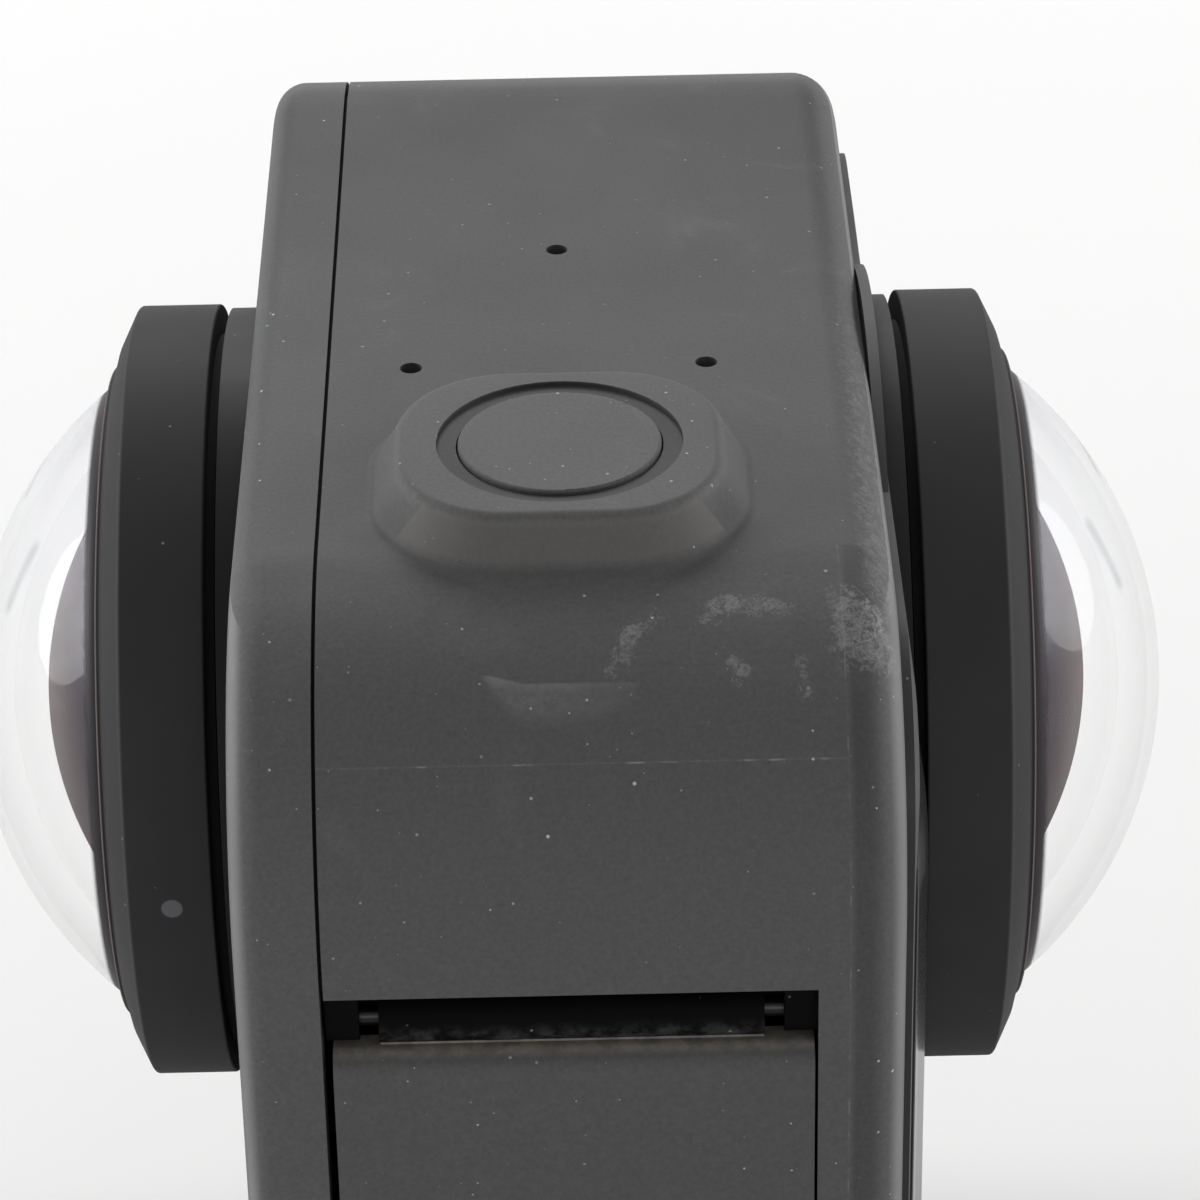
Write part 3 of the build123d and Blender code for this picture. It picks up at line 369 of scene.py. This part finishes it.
def padShade(place, finish):  # where the button's moat is, and the painted shade in the moat, beside the moulding line and at the pad's corners
    x, y, z = place.parts()
    moat, flank, corners = finish["moat"], finish["flank"], finish["padCorners"]
    sunk = (place.away(moat["middle"]) < moat["radius"]) * (z < moat["under"])
    sunk = sunk * (z > moat["under"] - moat["deep"])
    # painted shade beside the moulding line
    flankShade = x.band(flank["start"], flank["end"]) * (y < finish["sideFrom"])
    shade = sunk * moat["shade"] + flankShade * flank["shade"]
    # painted shade at the pad's front corners, below its crest
    for middle, reach, depth in corners["spots"]:
        cornerShade = place.away(middle).fadeOut(corners["full"], reach) * z.fadeOut(*corners["crest"])
        shade = shade + cornerShade * depth
    return sunk, shade


def scuffMarks(place, finish):
    x, y, z = place.parts()
    crest, ragged, scuffing = finish["roofEdge"], finish["ragged"], finish["scuffing"]
    streak = noise(place, scale=2.6, detail=6.0, rough=0.75, distortion=0.9)
    speckle = noise(place, scale=9.0, detail=3.0, rough=0.7)
    patchy = (streak - 0.5) * ragged["streak"] + (speckle - 0.5) * ragged["speckle"] - ragged["less"]
    frayed = x.fade(*crest["across"]) * y.fadeOut(*crest["along"]) * (z > crest["above"])
    frayed = frayed * (patchy + crest["fuller"]).atLeast(0.0)
    frayed = (frayed * crest["shade"]).atMost(crest["most"])
    smudge = 0.0
    for start, end, halfWide, strength in finish["scuffs"]:
        smudge = place.stroke(start, end).fadeOut(0.0, halfWide * scuffing["reach"]) * strength + smudge
    worn = smudge.atMost(scuffing["most"]) + patchy * smudge.fade(*scuffing["raggedWithin"])
    worn = worn.atLeast(0.0).atMost(1.0) * scuffing["shade"]
    return frayed + worn * smudge.fade(*scuffing["outline"])


def partingLines(place, finish):  # patchy along their length
    x, y, z = place.parts()
    parting = finish["parting"]
    patchy = noise(place, scale=1.1, detail=2.0, rough=0.6)
    offLevel = z - parting["height"] + (patchy - 0.5) * parting["wander"]
    level = offLevel.unsigned().fadeOut(*parting["heightWide"]) * (x < parting["across"])
    upright = (x - parting["across"]).unsigned().fadeOut(*parting["acrossWide"])
    level = level * patchy.fade(*parting["levelPatches"]).spread(*parting["levelShade"])
    upright = upright * patchy.fade(*parting["uprightPatches"]).spread(*parting["uprightShade"])
    return (level + upright) * (y < finish["sideFrom"])


def moonMark(place, finish):  # how pale the crescent is, and how deep
    x, y, z = place.parts()
    moon = finish["moon"]
    rise, shade, edge, edgeShade = (moon[key] for key in ("rise", "shade", "rim", "rimShade"))
    patches = moon["patches"]
    streak = noise(place, scale=2.6, detail=6.0, rough=0.75, distortion=0.9)
    broken = noise(place, scale=1.1, detail=2.0, rough=0.6)
    along = (x - moon["middle"]) / moon["halfWide"]
    square = along * along
    turn = (z - moon["level"]).sum("ARCTAN2", 0.0 - (y - moon["back"]))
    below = (moon["top"] - turn) * moon["radius"] + (0.0 - along).fade(*rise["along"]) * rise["height"]
    lower = moon["tall"] * (1.0 - square * square) + moon["tips"]
    where = (y < finish["sideFrom"]) * (z > moon["above"]) * (square < 1.0)
    inside = below.fade(*moon["upperEdge"]) * (lower - below).fade(*moon["lowerEdge"]) * where
    rim = below.band(edge["rise"], edge["fall"]) * square.fadeOut(*edge["ends"]) * where
    rim = rim * (1.0 - along.fade(*edgeShade["along"]) * edgeShade["less"]) * broken * edgeShade["most"]
    patchy = ((streak - 0.5) * patches["range"] + patches["middle"]).atLeast(patches["least"])
    inner = inside * patchy * (1.0 - along.fade(*shade["along"]) * shade["less"]) * shade["most"]
    return rim + inner, inside * moon["deep"]


def recessShade(place, hole, floor):
    x, y, z = place.parts()
    within = (y > hole["front"]) * (y < hole["back"]) * (x.unsigned() < hole["wide"])
    return within * (z < hole["top"]) * (z > floor)


def softTouchPlastic(name, finish, shade=1.0, marks=True, dustShare=0.1, recess=None):
    material, shader, place = startMaterial(name, finish["specular"])
    x, y, z = place.parts()
    grain = noise(place, scale=5.5, detail=4.0, rough=0.65)
    cloud = noise(place, scale=0.16, detail=3.0, rough=0.5)
    stretched = place.node("ShaderNodeMapping", {"Vector": place, "Scale": (0.5, 0.5, 0.18)})
    smear = noise(stretched, scale=0.55, detail=4.0, rough=0.6, distortion=0.8)
    tone = finish["tone"]
    lightness = shade * (tone["least"] + cloud * tone["cloud"] + grain * tone["grain"])
    base = lightness.times(finish["colour"])
    dust = specks(place, spacing=0.8, share=dustShare * 4.5, radius=0.1)
    dust = dust + specks(place, spacing=0.4, share=dustShare * 2.0, radius=0.05) * 0.6
    height = grain * finish["grainHeight"]
    edges, roof = finish["edges"], finish["roof"]
    across = x.unsigned()
    # painted highlight along the rounded side edges
    edge = across.fade(*edges["near"]) * (1.0 - across.fade(*edges["face"]) * (1.0 - edges["left"]))
    edge = edge * cloud.spread(*edges["shade"]) * (z < edges["under"])
    # a pale mix of real wear and smear with the painted edge highlight
    wearAndHighlight = smear.fade(*finish["smear"]["fade"]) * finish["smear"]["shade"] + edge
    # painted shade on the top, darker towards the back; the top also keeps less dust
    high = z.band(roof["height"], roof["pad"])
    paintedRoofShade = high * y.fade(*roof["along"]).spread(*roof["shade"])
    base = (1.0 - paintedRoofShade).times(base)
    if marks:
        slope, padRim = finish["slope"], finish["padRim"]
        sunk, shadow = padShade(place, finish)
        base = (1.0 - shadow).times(base)
        # painted light on the pad's front slope
        ahead = (y < slope["front"]) * z.band(slope["foot"], slope["crest"])
        base = (ahead * slope["share"]).mixed(base, slope["paintedLight"])
        rim = z.band(padRim["rise"], padRim["fall"]) * (1.0 - sunk) * grain * padRim["shade"]
        moon, pressed = moonMark(place, finish)
        wearAndHighlight = wearAndHighlight + rim + scuffMarks(place, finish) + partingLines(place, finish) + moon
        height = height - pressed
        dust = dust * (1.0 - high * roof["lessDust"])
    dust = dust.atMost(1.0)
    colour = dust.mixed(wearAndHighlight.atMost(1.0).mixed(base, finish["wearAndHighlight"]), finish["dust"])
    if recess:
        hole, doorTop = finish["recess"], finish["doorTop"]
        deep = recessShade(place, hole, hole[recess])
    if recess == "knuckle":
        patchy = noise(place, scale=1.4, detail=5.0, rough=0.7).fade(*doorTop["patches"])
        settled = z.fade(*doorTop["height"]) * (z < hole["knuckle"]) * patchy.spread(*doorTop["share"])
        colour = settled.mixed(colour, doorTop["dust"])
        deep = deep * (1.0 - z.fadeOut(*doorTop["barrel"]) * patchy * doorTop["barrelShare"])
    if recess:
        # painted shade: a near-black layer in the slot, lighter where dust lies
        deep = deep * (1.0 - dust * hole["lessInDust"])
        film(material, deep, hole["colour"], roughness=0.7, specular=0.04)
    rough = finish["roughness"]
    roughness = rough["plain"] + cloud * rough["cloud"] - wearAndHighlight * rough["wearAndHighlight"]
    join(shader, colour=colour, roughness=roughness, normal=height.relief(0.8))
    return material


ringFinish = {
    "colour": (0.035, 0.0335, 0.0345),
    "tone": (0.8, 0.4),
    "grainHeight": 0.006,
    "specular": 0.12,
    "roughness": {"plain": 0.6, "cloud": 0.12, "rim": 0.1},
    # painted shade on the outer chamfer
    "chamfer": {"reach": (17.75, 17.95), "shade": 0.42},
    "dot": {"colour": (0.13, 0.13, 0.14), "place": (-16.03, -16.47, 49.6), "edge": (0.378, 0.4704)},
    "rim": {  # painted highlight: a thin pale line on the moulded rim beside the dome
        "colour": (0.16, 0.135, 0.125),
        "reach": (18.86, 18.9),
        "share": (0.55, 0.5),
    },
    "dust": {"colour": (0.35, 0.34, 0.33), "share": 0.8},
}


def ringPlastic(name, finish):
    material, shader, place = startMaterial(name, finish["specular"])
    reach = place.parts()[0].unsigned()
    grain = noise(place, scale=7.0, detail=3.0, rough=0.6)
    cloud = noise(place, scale=0.25, detail=2.0)
    chamfer, dot, rough = finish["chamfer"], finish["dot"], finish["roughness"]
    # painted shade on the chamfer
    tone = cloud.spread(*finish["tone"]) * (1.0 - reach.fade(*chamfer["reach"]) * chamfer["shade"])
    # painted highlight on the rim beside the dome
    rim = reach.fade(*finish["rim"]["reach"])
    rimHighlight = (rim * grain.spread(*finish["rim"]["share"])).atMost(1.0)
    colour = rimHighlight.mixed(tone.times(finish["colour"]), finish["rim"]["colour"])
    colour = place.away(dot["place"]).fadeOut(*dot["edge"]).mixed(colour, dot["colour"])
    dust = specks(place, spacing=1.0, share=0.4, radius=0.075) * finish["dust"]["share"]
    colour = dust.mixed(colour, finish["dust"]["colour"])
    roughness = rough["plain"] + cloud * rough["cloud"] + rim * rough["rim"]
    join(shader, colour=colour, roughness=roughness, normal=(grain * finish["grainHeight"]).relief(0.6))
    return material


plainLook = {
    "tone": {"least": 0.82, "cloud": 0.24, "grain": 0.12},
    "cloudScale": 0.08,
    "cloudRoughness": 0.1,
    "dust": {"colour": (0.35, 0.34, 0.32), "share": 0.7},
}


def plainFinish(name, colour, roughness, metallic=0.0, grainScale=4.0, bump=0.004, dust=0.0, specular=0.5):
    material, shader, place = startMaterial(name, specular)
    grain = noise(place, grainScale, detail=3.0, rough=0.6)
    cloud = noise(place, grainScale * plainLook["cloudScale"], detail=2.0)
    tone, dots = plainLook["tone"], plainLook["dust"]
    base = (tone["least"] + cloud * tone["cloud"] + grain * tone["grain"]).times(colour)
    if dust:
        dotted = specks(place, spacing=0.9, share=dust * 4, radius=0.08) * dots["share"]
        base = dotted.mixed(base, dots["colour"])
    roughness = roughness + cloud * plainLook["cloudRoughness"]
    join(shader, colour=base, roughness=roughness, metallic=metallic, normal=(grain * bump).relief(0.6))
    return material


domeFinish = {
    "glass": (0.985, 0.99, 0.99),
    "index": 1.12,
    "straight": 0.99,  # a thin dome hardly bends the light
    "innerWall": {"inside": 15.9, "shine": 0.3},  # nearer the centre than this, it shines less
    "mirror": {"facing": (0.5, 1.0), "least": 0.015, "atEdge": 0.2, "roughness": 0.04},
    # painted reflection: pale at the dome's edges, more so low down
    "veilReflection": {
        "colour": (0.85, 0.87, 0.86),
        "facing": (0.5, 1.0),
        "least": 0.03,
        "low": (42.0, 52.0),
        "lowShare": 0.05,
        "cloudShare": 0.05,
    },
    # painted reflection, lilac, high on the dome
    "lilacReflection": {"colour": (0.8, 0.8, 0.95), "height": (55.0, 61.0), "share": 0.1},
    # painted reflection of a dark streak
    "streak": {
        "from": (21.85, 4.1, 59.3),
        "to": (23.0, 4.75, 57.0),
        "halfWide": 0.6,
        "share": 0.24,
        "colour": (0.03, 0.07, 0.13),
    },
    # painted shadow at the dome's foot beside the ring
    "foot": {"colour": (0.03, 0.027, 0.03), "reach": (19.35, 19.6)},
}


def domeGlass(name, finish):
    material, shader, place = startMaterial(name)
    x, _, z = place.parts()
    join(shader, roughness=0.0)
    shader.inputs["Base Color"].default_value = (*finish["glass"], 1)
    shader.inputs["Transmission Weight"].default_value = 1.0
    shader.inputs["IOR"].default_value = finish["index"]
    mirror, veilReflection, lilacReflection, streak = (finish[key] for key in ("mirror", "veilReflection", "lilacReflection", "streak"))
    overlay(material, finish["straight"], "ShaderNodeBsdfTransparent", {"Color": (1, 1, 1, 1)})
    facing = place.node("ShaderNodeLayerWeight", {"Blend": 0.5}, output=1)
    eachSide = place.node("ShaderNodeVectorMath", {0: place}, operation="ABSOLUTE")
    wall = finish["innerWall"]
    outer = eachSide.away((domeCentre, 0.0, lensHeight)) > wall["inside"]
    shine = outer.spread(wall["shine"], 1.0 - wall["shine"])
    gleam = (facing.fade(*mirror["facing"]) * mirror["atEdge"] + mirror["least"]) * shine
    overlay(material, gleam, "ShaderNodeBsdfGlossy", {"Roughness": mirror["roughness"]})
    cloud = noise(place, scale=0.12, detail=2.0, rough=0.5)
    # painted reflection, pale at the edges seen across and low on the dome
    paintedReflection = veilReflection["least"] + z.fadeOut(*veilReflection["low"]) * veilReflection["lowShare"] + cloud * veilReflection["cloudShare"]
    paintedReflection = facing.fade(*veilReflection["facing"]) * paintedReflection * shine
    film(material, paintedReflection, veilReflection["colour"], roughness=0.3, specular=0.2)
    # painted lilac reflection high on the dome
    film(material, z.fade(*lilacReflection["height"]) * lilacReflection["share"], lilacReflection["colour"], roughness=0.4, specular=0.2)
    # painted reflection of a dark streak on the dome
    off = eachSide.stroke(streak["from"], streak["to"])
    streakReflection = off.fadeOut(0.0, streak["halfWide"]) * streak["share"]
    film(material, streakReflection, streak["colour"], roughness=0.4, specular=0.2)
    # painted shadow at the dome's foot
    footShadow = x.unsigned().fadeOut(*finish["foot"]["reach"])
    film(material, footShadow, finish["foot"]["colour"], roughness=0.5, specular=0.2)
    return material


lensFinish = {
    "middle": (0.004, 0.004, 0.006),
    "outer": (0.02, 0.01, 0.026),
    "outwards": (3.0, 9.0),
    # painted reflection seen across the lens, paler further out
    "reflectionDeep": (0.032, 0.0265, 0.0275),
    "reflectionPale": (0.15, 0.127, 0.128),
    "reach": (18.9, 22.1),
    "patches": (0.75, 0.5),
    "facing": (0.42, 0.8),
    "roughness": (0.08, 0.7),
    "specular": 0.08,
    "tint": (0.8, 0.65, 0.9),
}


def coatedLens(name, finish):  # dark and polished seen from the front, with a pale painted reflection seen across
    material, shader, place = startMaterial(name, finish["specular"])
    x, y, z = place.parts()
    cloud = noise(place, scale=0.35, detail=2.0)
    over = z - lensHeight
    outwards = (y * y + over * over).sum("SQRT")
    inner = outwards.fade(*finish["outwards"]).mixed(finish["middle"], finish["outer"])
    # painted reflection, paler further out along the axis
    paintedReflection = (x.unsigned().fade(*finish["reach"]) * cloud.spread(*finish["patches"])).atMost(1.0)
    lensReflection = paintedReflection.mixed(finish["reflectionDeep"], finish["reflectionPale"])
    facing = place.node("ShaderNodeLayerWeight", {"Blend": 0.5}, output=1).fade(*finish["facing"])
    join(shader, colour=facing.mixed(inner, lensReflection), roughness=facing.spread(*finish["roughness"]))
    shader.inputs["Specular Tint"].default_value = (*finish["tint"], 1)
    return material


screenRim = {"beyond": 24.9, "colour": (0.02, 0.02, 0.021)}


def screenGlass(name, *values, **settings):  # polished on the face, ground and dark on its rim
    material = plainFinish(name, *values, **settings)
    tree = material.node_tree
    coordinates = next(node for node in tree.nodes if node.type == "TEX_COORD")
    y = Wire(tree, coordinates.outputs["Object"]).parts()[1] / mm
    film(material, y.unsigned() > screenRim["beyond"], screenRim["colour"], roughness=0.6, specular=0.15)
    return material


finishes = {
    "body": softTouchPlastic("softTouchBody", softTouch, recess="pocket"),
    "door": softTouchPlastic("softTouchDoor", softTouch, shade=0.93, marks=False, recess="knuckle"),
    "cover": softTouchPlastic("softTouchCover", softTouch, shade=1.05, marks=False),
    "button": softTouchPlastic("softTouchButton", softTouch, shade=1.02, marks=False, dustShare=0.22),
    "ring": ringPlastic("satinRing", ringFinish),
    "mount": plainFinish("mountRing", (0.012, 0.012, 0.013), 0.5, grainScale=5.0, dust=0.14, specular=0.15),
    "black": plainFinish("blackPlastic", (0.012, 0.012, 0.013), 0.5, grainScale=5.0, dust=0.1, specular=0.3),
    "blackMetal": plainFinish("blackMetal", (0.03, 0.03, 0.032), 0.45, metallic=0.4, grainScale=6.0),
    "seal": plainFinish("sealRubber", (0.008, 0.008, 0.008), 0.8, grainScale=3.0, specular=0.2),
    "steel": plainFinish("smallSteel", (0.5, 0.5, 0.51), 0.32, metallic=1.0, grainScale=9.0, bump=0.002),
    "pin": plainFinish("darkPin", (0.003, 0.003, 0.003), 0.25, grainScale=9.0, bump=0.002, specular=0.25),
    "gold": plainFinish("contactGold", (0.8, 0.6, 0.25), 0.3, metallic=1.0, grainScale=9.0, bump=0.002),
    "board": plainFinish("boardMask", (0.01, 0.07, 0.035), 0.45, grainScale=2.0),
    "grey": plainFinish("batteryShell", (0.12, 0.12, 0.125), 0.5),
    "fingers": plainFinish("fingerMetal", (0.045, 0.045, 0.047), 0.38, metallic=0.8, grainScale=7.0),
    "bezel": plainFinish(
        "bezelPlastic", (0.032, 0.032, 0.033), 0.5, grainScale=5.0, dust=0.12, specular=0.25
    ),
    "screen": screenGlass(
        "screenGlass", (0.008, 0.008, 0.01), 0.12, grainScale=0.4, bump=0.0, dust=0.1, specular=0.3
    ),
    "light": plainFinish("lightPipe", (0.55, 0.55, 0.53), 0.35, grainScale=3.0),
    "dome": domeGlass("domeGlass", domeFinish),
    "lens": coatedLens("coatedLens", lensFinish),
}
print("materials made:", len(finishes))


# Pieces taken over from the frame
def finishPiece(piece, node, finish):
    piece.data.materials.clear()
    piece.data.materials.append(finishes[finish])
    bpy.context.scene.collection.objects.link(piece)
    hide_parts(node)
    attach(piece, nodes[node]["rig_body"])


shellAngle, turnedAngle = 32, 40  # in degrees: a steeper edge stays sharp


def smoothPiece(piece, angle):
    piece.data.polygons.foreach_set("use_smooth", [True] * len(piece.data.polygons))
    piece.data.set_sharp_from_angle(angle=math.radians(angle))
    weighted = piece.modifiers.new("weighted", "WEIGHTED_NORMAL")
    weighted.keep_sharp, weighted.weight = True, 50


def dressNode(node, finish):  # a merged copy of a CAD node with smooth shading
    mesh = nodes[node].data.copy()
    mesh.name = node + "Dressed"
    shape = bmesh.new()
    shape.from_mesh(mesh)
    bmesh.ops.remove_doubles(shape, verts=shape.verts, dist=2e-7)
    bmesh.ops.dissolve_degenerate(shape, edges=shape.edges, dist=1e-7)
    shape.to_mesh(mesh)
    shape.free()
    if mesh.has_custom_normals:
        mesh.attributes.remove(mesh.attributes["custom_normal"])
    piece = bpy.data.objects.new(node + "Dressed", mesh)
    finishPiece(piece, node, finish)
    smoothPiece(piece, shellAngle)


for node, finish, slot in (
    ("main_housing", "body", "body_shell"),
    ("front_cover", "cover", "cover_shell"),
    ("side_door", "door", "body_shell"),
    ("shutter_button", "button", "button_plastic"),
    ("mode_button", "button", "button_plastic"),
    ("rear_bezel", "bezel", "black_plastic"),
    ("screen_glass", "screen", "screen_cover"),
    ("finger_left", "fingers", "dark_alloy"),
    ("finger_right", "fingers", "dark_alloy"),
    ("front_mount_ring", "mount", "dark_alloy"),
    ("rear_mount_ring", "mount", "dark_alloy"),
    ("door_latch", "button", "button_plastic"),
):
    dressNode(node, finish)
print("shell pieces dressed")


# Rings and lenses, turned about the lens axis
ringShape = {
    "outline": [  # (along the axis, radius), from the back of the skirt round to its inside
        (12.78, 11.9),
        (12.78, 13.2),
        (14.38, 13.2),
        (14.38, 16.47),
        (17.77, 16.47),
        (18.45, 15.05),
        (18.77, 13.9),
        (18.95, 13.9),
        (18.95, 13.35),
        (16.7, 13.35),
        (16.7, 11.9),
    ],
    "edge": 0.13,
    "bevelOver": 12,  # degrees
    "steps": 180,
}
domeShape = {"radius": 16.75, "inside": 15.0, "edge": 13.25, "back": 16.66, "steps": 160, "arcSteps": 30}
lensShape = {"radius": 14.5, "centre": 7.7, "edge": 10.4, "back": 15.0, "steps": 128, "arcSteps": 24}


def atAxis(along, radius, side):
    return Vector((side * along, 0, lensHeight + radius)) * mm


def turnOutline(shape, steps):  # spins every vertex and edge about the lens axis
    geometry = list(shape.verts) + list(shape.edges)
    axis = {"cent": (0, 0, lensHeight * mm), "axis": (1, 0, 0), "angle": math.tau}
    bmesh.ops.spin(shape, geom=geometry, steps=steps, use_merge=True, **axis)
    bmesh.ops.remove_doubles(shape, verts=shape.verts, dist=1e-7)
    bmesh.ops.dissolve_degenerate(shape, edges=shape.edges, dist=1e-8)
    bmesh.ops.recalc_face_normals(shape, faces=shape.faces)


def arcFrom(shape, centre, radius, angle, side, steps):  # spins the tip into an arc and gives its end
    tip = shape.verts.new(atAxis(centre + radius, 0, side))
    turn = {"cent": atAxis(centre, 0, side), "axis": (0, side, 0), "angle": -angle}
    made = bmesh.ops.spin(shape, geom=[tip], steps=steps, use_merge=False, **turn)
    return next(item for item in made["geom_last"] if isinstance(item, bmesh.types.BMVert))


def makePiece(shape, name):
    mesh = bpy.data.meshes.new(name)
    shape.to_mesh(mesh)
    shape.free()
    return bpy.data.objects.new(name, mesh)


def makeRing(end, side):
    shape = bmesh.new()
    points = [shape.verts.new(atAxis(along, radius, side)) for along, radius in ringShape["outline"]]
    for first, second in zip(points, points[1:] + points[:1]):
        shape.edges.new((first, second))
    turnOutline(shape, ringShape["steps"])
    sharp = math.radians(ringShape["bevelOver"])
    corners = [edge for edge in shape.edges if edge.calc_face_angle(0) > sharp]
    rounding = {"offset": ringShape["edge"] * mm, "segments": 4, "profile": 0.5, "clamp_overlap": True}
    bmesh.ops.bevel(shape, geom=corners, affect="EDGES", material=-1, **rounding)
    piece = makePiece(shape, end + "TwistRing")
    finishPiece(piece, end + "_lens_ring", "ring")
    smoothPiece(piece, turnedAngle)


def makeDome(end, side):
    shape = bmesh.new()
    size = domeShape
    wide = math.asin(size["edge"] / size["radius"])
    narrow = math.acos((size["back"] - domeCentre) / size["inside"])
    outEnd = arcFrom(shape, domeCentre, size["radius"], wide, side, size["arcSteps"])
    inEnd = arcFrom(shape, domeCentre, size["inside"], narrow, side, size["arcSteps"])
    foot = shape.verts.new(atAxis(size["back"], size["edge"], side))
    shape.edges.new((outEnd, foot))
    shape.edges.new((foot, inEnd))
    turnOutline(shape, size["steps"])
    piece = makePiece(shape, end + "DomeGlass")
    finishPiece(piece, end + "_dome", "dome")
    smoothPiece(piece, turnedAngle)


def makeInnerLens(end, side):
    shape = bmesh.new()
    size = lensShape
    wide = math.asin(size["edge"] / size["radius"])
    last = arcFrom(shape, size["centre"], size["radius"], wide, side, size["arcSteps"])
    foot = shape.verts.new(atAxis(size["back"], size["edge"], side))
    middle = shape.verts.new(atAxis(size["back"], 0, side))
    shape.edges.new((last, foot))
    shape.edges.new((foot, middle))
    turnOutline(shape, size["steps"])
    piece = makePiece(shape, end + "InnerLens")
    finishPiece(piece, end + "_inner_lens", "lens")
    smoothPiece(piece, turnedAngle)


for end, side in (("front", -1), ("rear", 1)):
    makeRing(end, side)
    makeDome(end, side)
    makeInnerLens(end, side)
print("rings, domes and lenses turned")


# Finishes of the pieces that keep their CAD shape
nodeFinishes = {
    "seal": ["cover_gasket", "shutter_seal", "door_seal", "front_ring_seal", "rear_ring_seal"],
    "steel": [
        "button_screws", "board_screws", "board_shield", "usb_port", "card_slot",
        "finger_pins", "tripod_insert", "front_mount_screws", "rear_mount_screws",
    ],
    "black": [
        "shutter_switch", "mode_switch", "microphones", "speaker", "battery_tray", "port_panel",
        "memory_card", "display_module", "front_retainer", "rear_retainer", "front_sensor", "rear_sensor",
    ],
    "board": ["shutter_board", "main_board", "port_board", "front_sensor_board", "rear_sensor_board"],
    "blackMetal": ["front_lens_barrel", "rear_lens_barrel", "heat_spreader"],
    "lens": ["front_lens_group", "rear_lens_group"],
    "gold": ["battery_contacts"],
    "grey": ["battery"],
    "pin": ["door_hinge_pin"],
    "light": ["status_light"],
}
for finish, names in nodeFinishes.items():
    for name in names:
        nodes[name].data.materials.clear()
        nodes[name].data.materials.append(finishes[finish])
print("inner pieces finished")


# Floor, world and lamps, in metres
studio = {
    "floorColour": (0.85, 0.85, 0.845),
    "floorRoughness": 0.85,
    "floorHalf": 4.0,
    "backdrop": (0.96, 0.96, 0.965),
    "backdropFade": (200.0, 450.0),  # from the object out, in mm
    "worldLevel": 0.3,
    "glossyShare": 0.8,
    "lamps": [  # name, place, aimed at, size, watts
        ("windowSoftbox", (-0.1, 0.77, 0.62), (0, 0, 0.04), 0.5, 4.7),
        ("leftSoftbox", (-0.7, 0.15, 0.2), (0, 0, 0.045), 0.4, 3.9),
        ("rightSoftbox", (0.7, 0.2, 0.2), (0, 0, 0.045), 0.4, 3.3),
        ("frontFill", (0.1, -0.8, 0.1), (0, 0, 0.045), 0.5, 1.9),
        ("overheadSoftbox", (0.1, 0.0, 0.8), (0, 0, 0.045), 0.5, 0.5),
    ],
}


def makeFloor(setup):  # far off, the camera sees it as plain backdrop
    shape = bmesh.new()
    bmesh.ops.create_grid(shape, x_segments=2, y_segments=2, size=setup["floorHalf"])
    floor = makePiece(shape, "floor")
    bpy.context.scene.collection.objects.link(floor)
    material, shader, place = startMaterial("paleFloor")
    join(shader, roughness=setup["floorRoughness"])
    shader.inputs["Base Color"].default_value = (*setup["floorColour"], 1)
    floor.data.materials.append(material)
    seen = place.node("ShaderNodeLightPath", {}).sibling("Is Camera Ray")
    far = place.away((0.0, 0.0, 0.0)).fade(*setup["backdropFade"]) * seen
    overlay(material, far, "ShaderNodeEmission", {"Color": (*setup["backdrop"], 1)})


def makeWorld(setup):  # white to the camera, dimmer as a light
    world = bpy.data.worlds.new("studioWorld")
    world.use_nodes = True
    bpy.context.scene.world = world
    tree = world.node_tree
    shader = tree.nodes["Background"]
    shader.inputs["Color"].default_value = (*setup["backdrop"], 1)
    rays = Wire(tree, tree.nodes.new("ShaderNodeLightPath").outputs["Is Camera Ray"])
    glossy = rays.sibling("Is Glossy Ray") * setup["glossyShare"]
    seen = (rays + glossy + rays.sibling("Is Transmission Ray")).atMost(1.0)
    level = seen.spread(setup["worldLevel"], 1.0 - setup["worldLevel"])
    tree.links.new(level.socket, shader.inputs["Strength"])


def makeLamps(setup):
    for name, place, target, size, watts in setup["lamps"]:
        lamp = bpy.data.lights.new(name, "AREA")
        lamp.shape, lamp.size, lamp.energy = "DISK", size, watts
        item = bpy.data.objects.new(name, lamp)
        aim = (Vector(place) - Vector(target)).to_track_quat("Z", "Y")
        item.matrix_world = Matrix.Translation(place) @ aim.to_matrix().to_4x4()
        bpy.context.scene.collection.objects.link(item)


makeFloor(studio)
makeWorld(studio)
makeLamps(studio)
bpy.context.scene.view_settings.view_transform = "Standard"
print("studio ready")
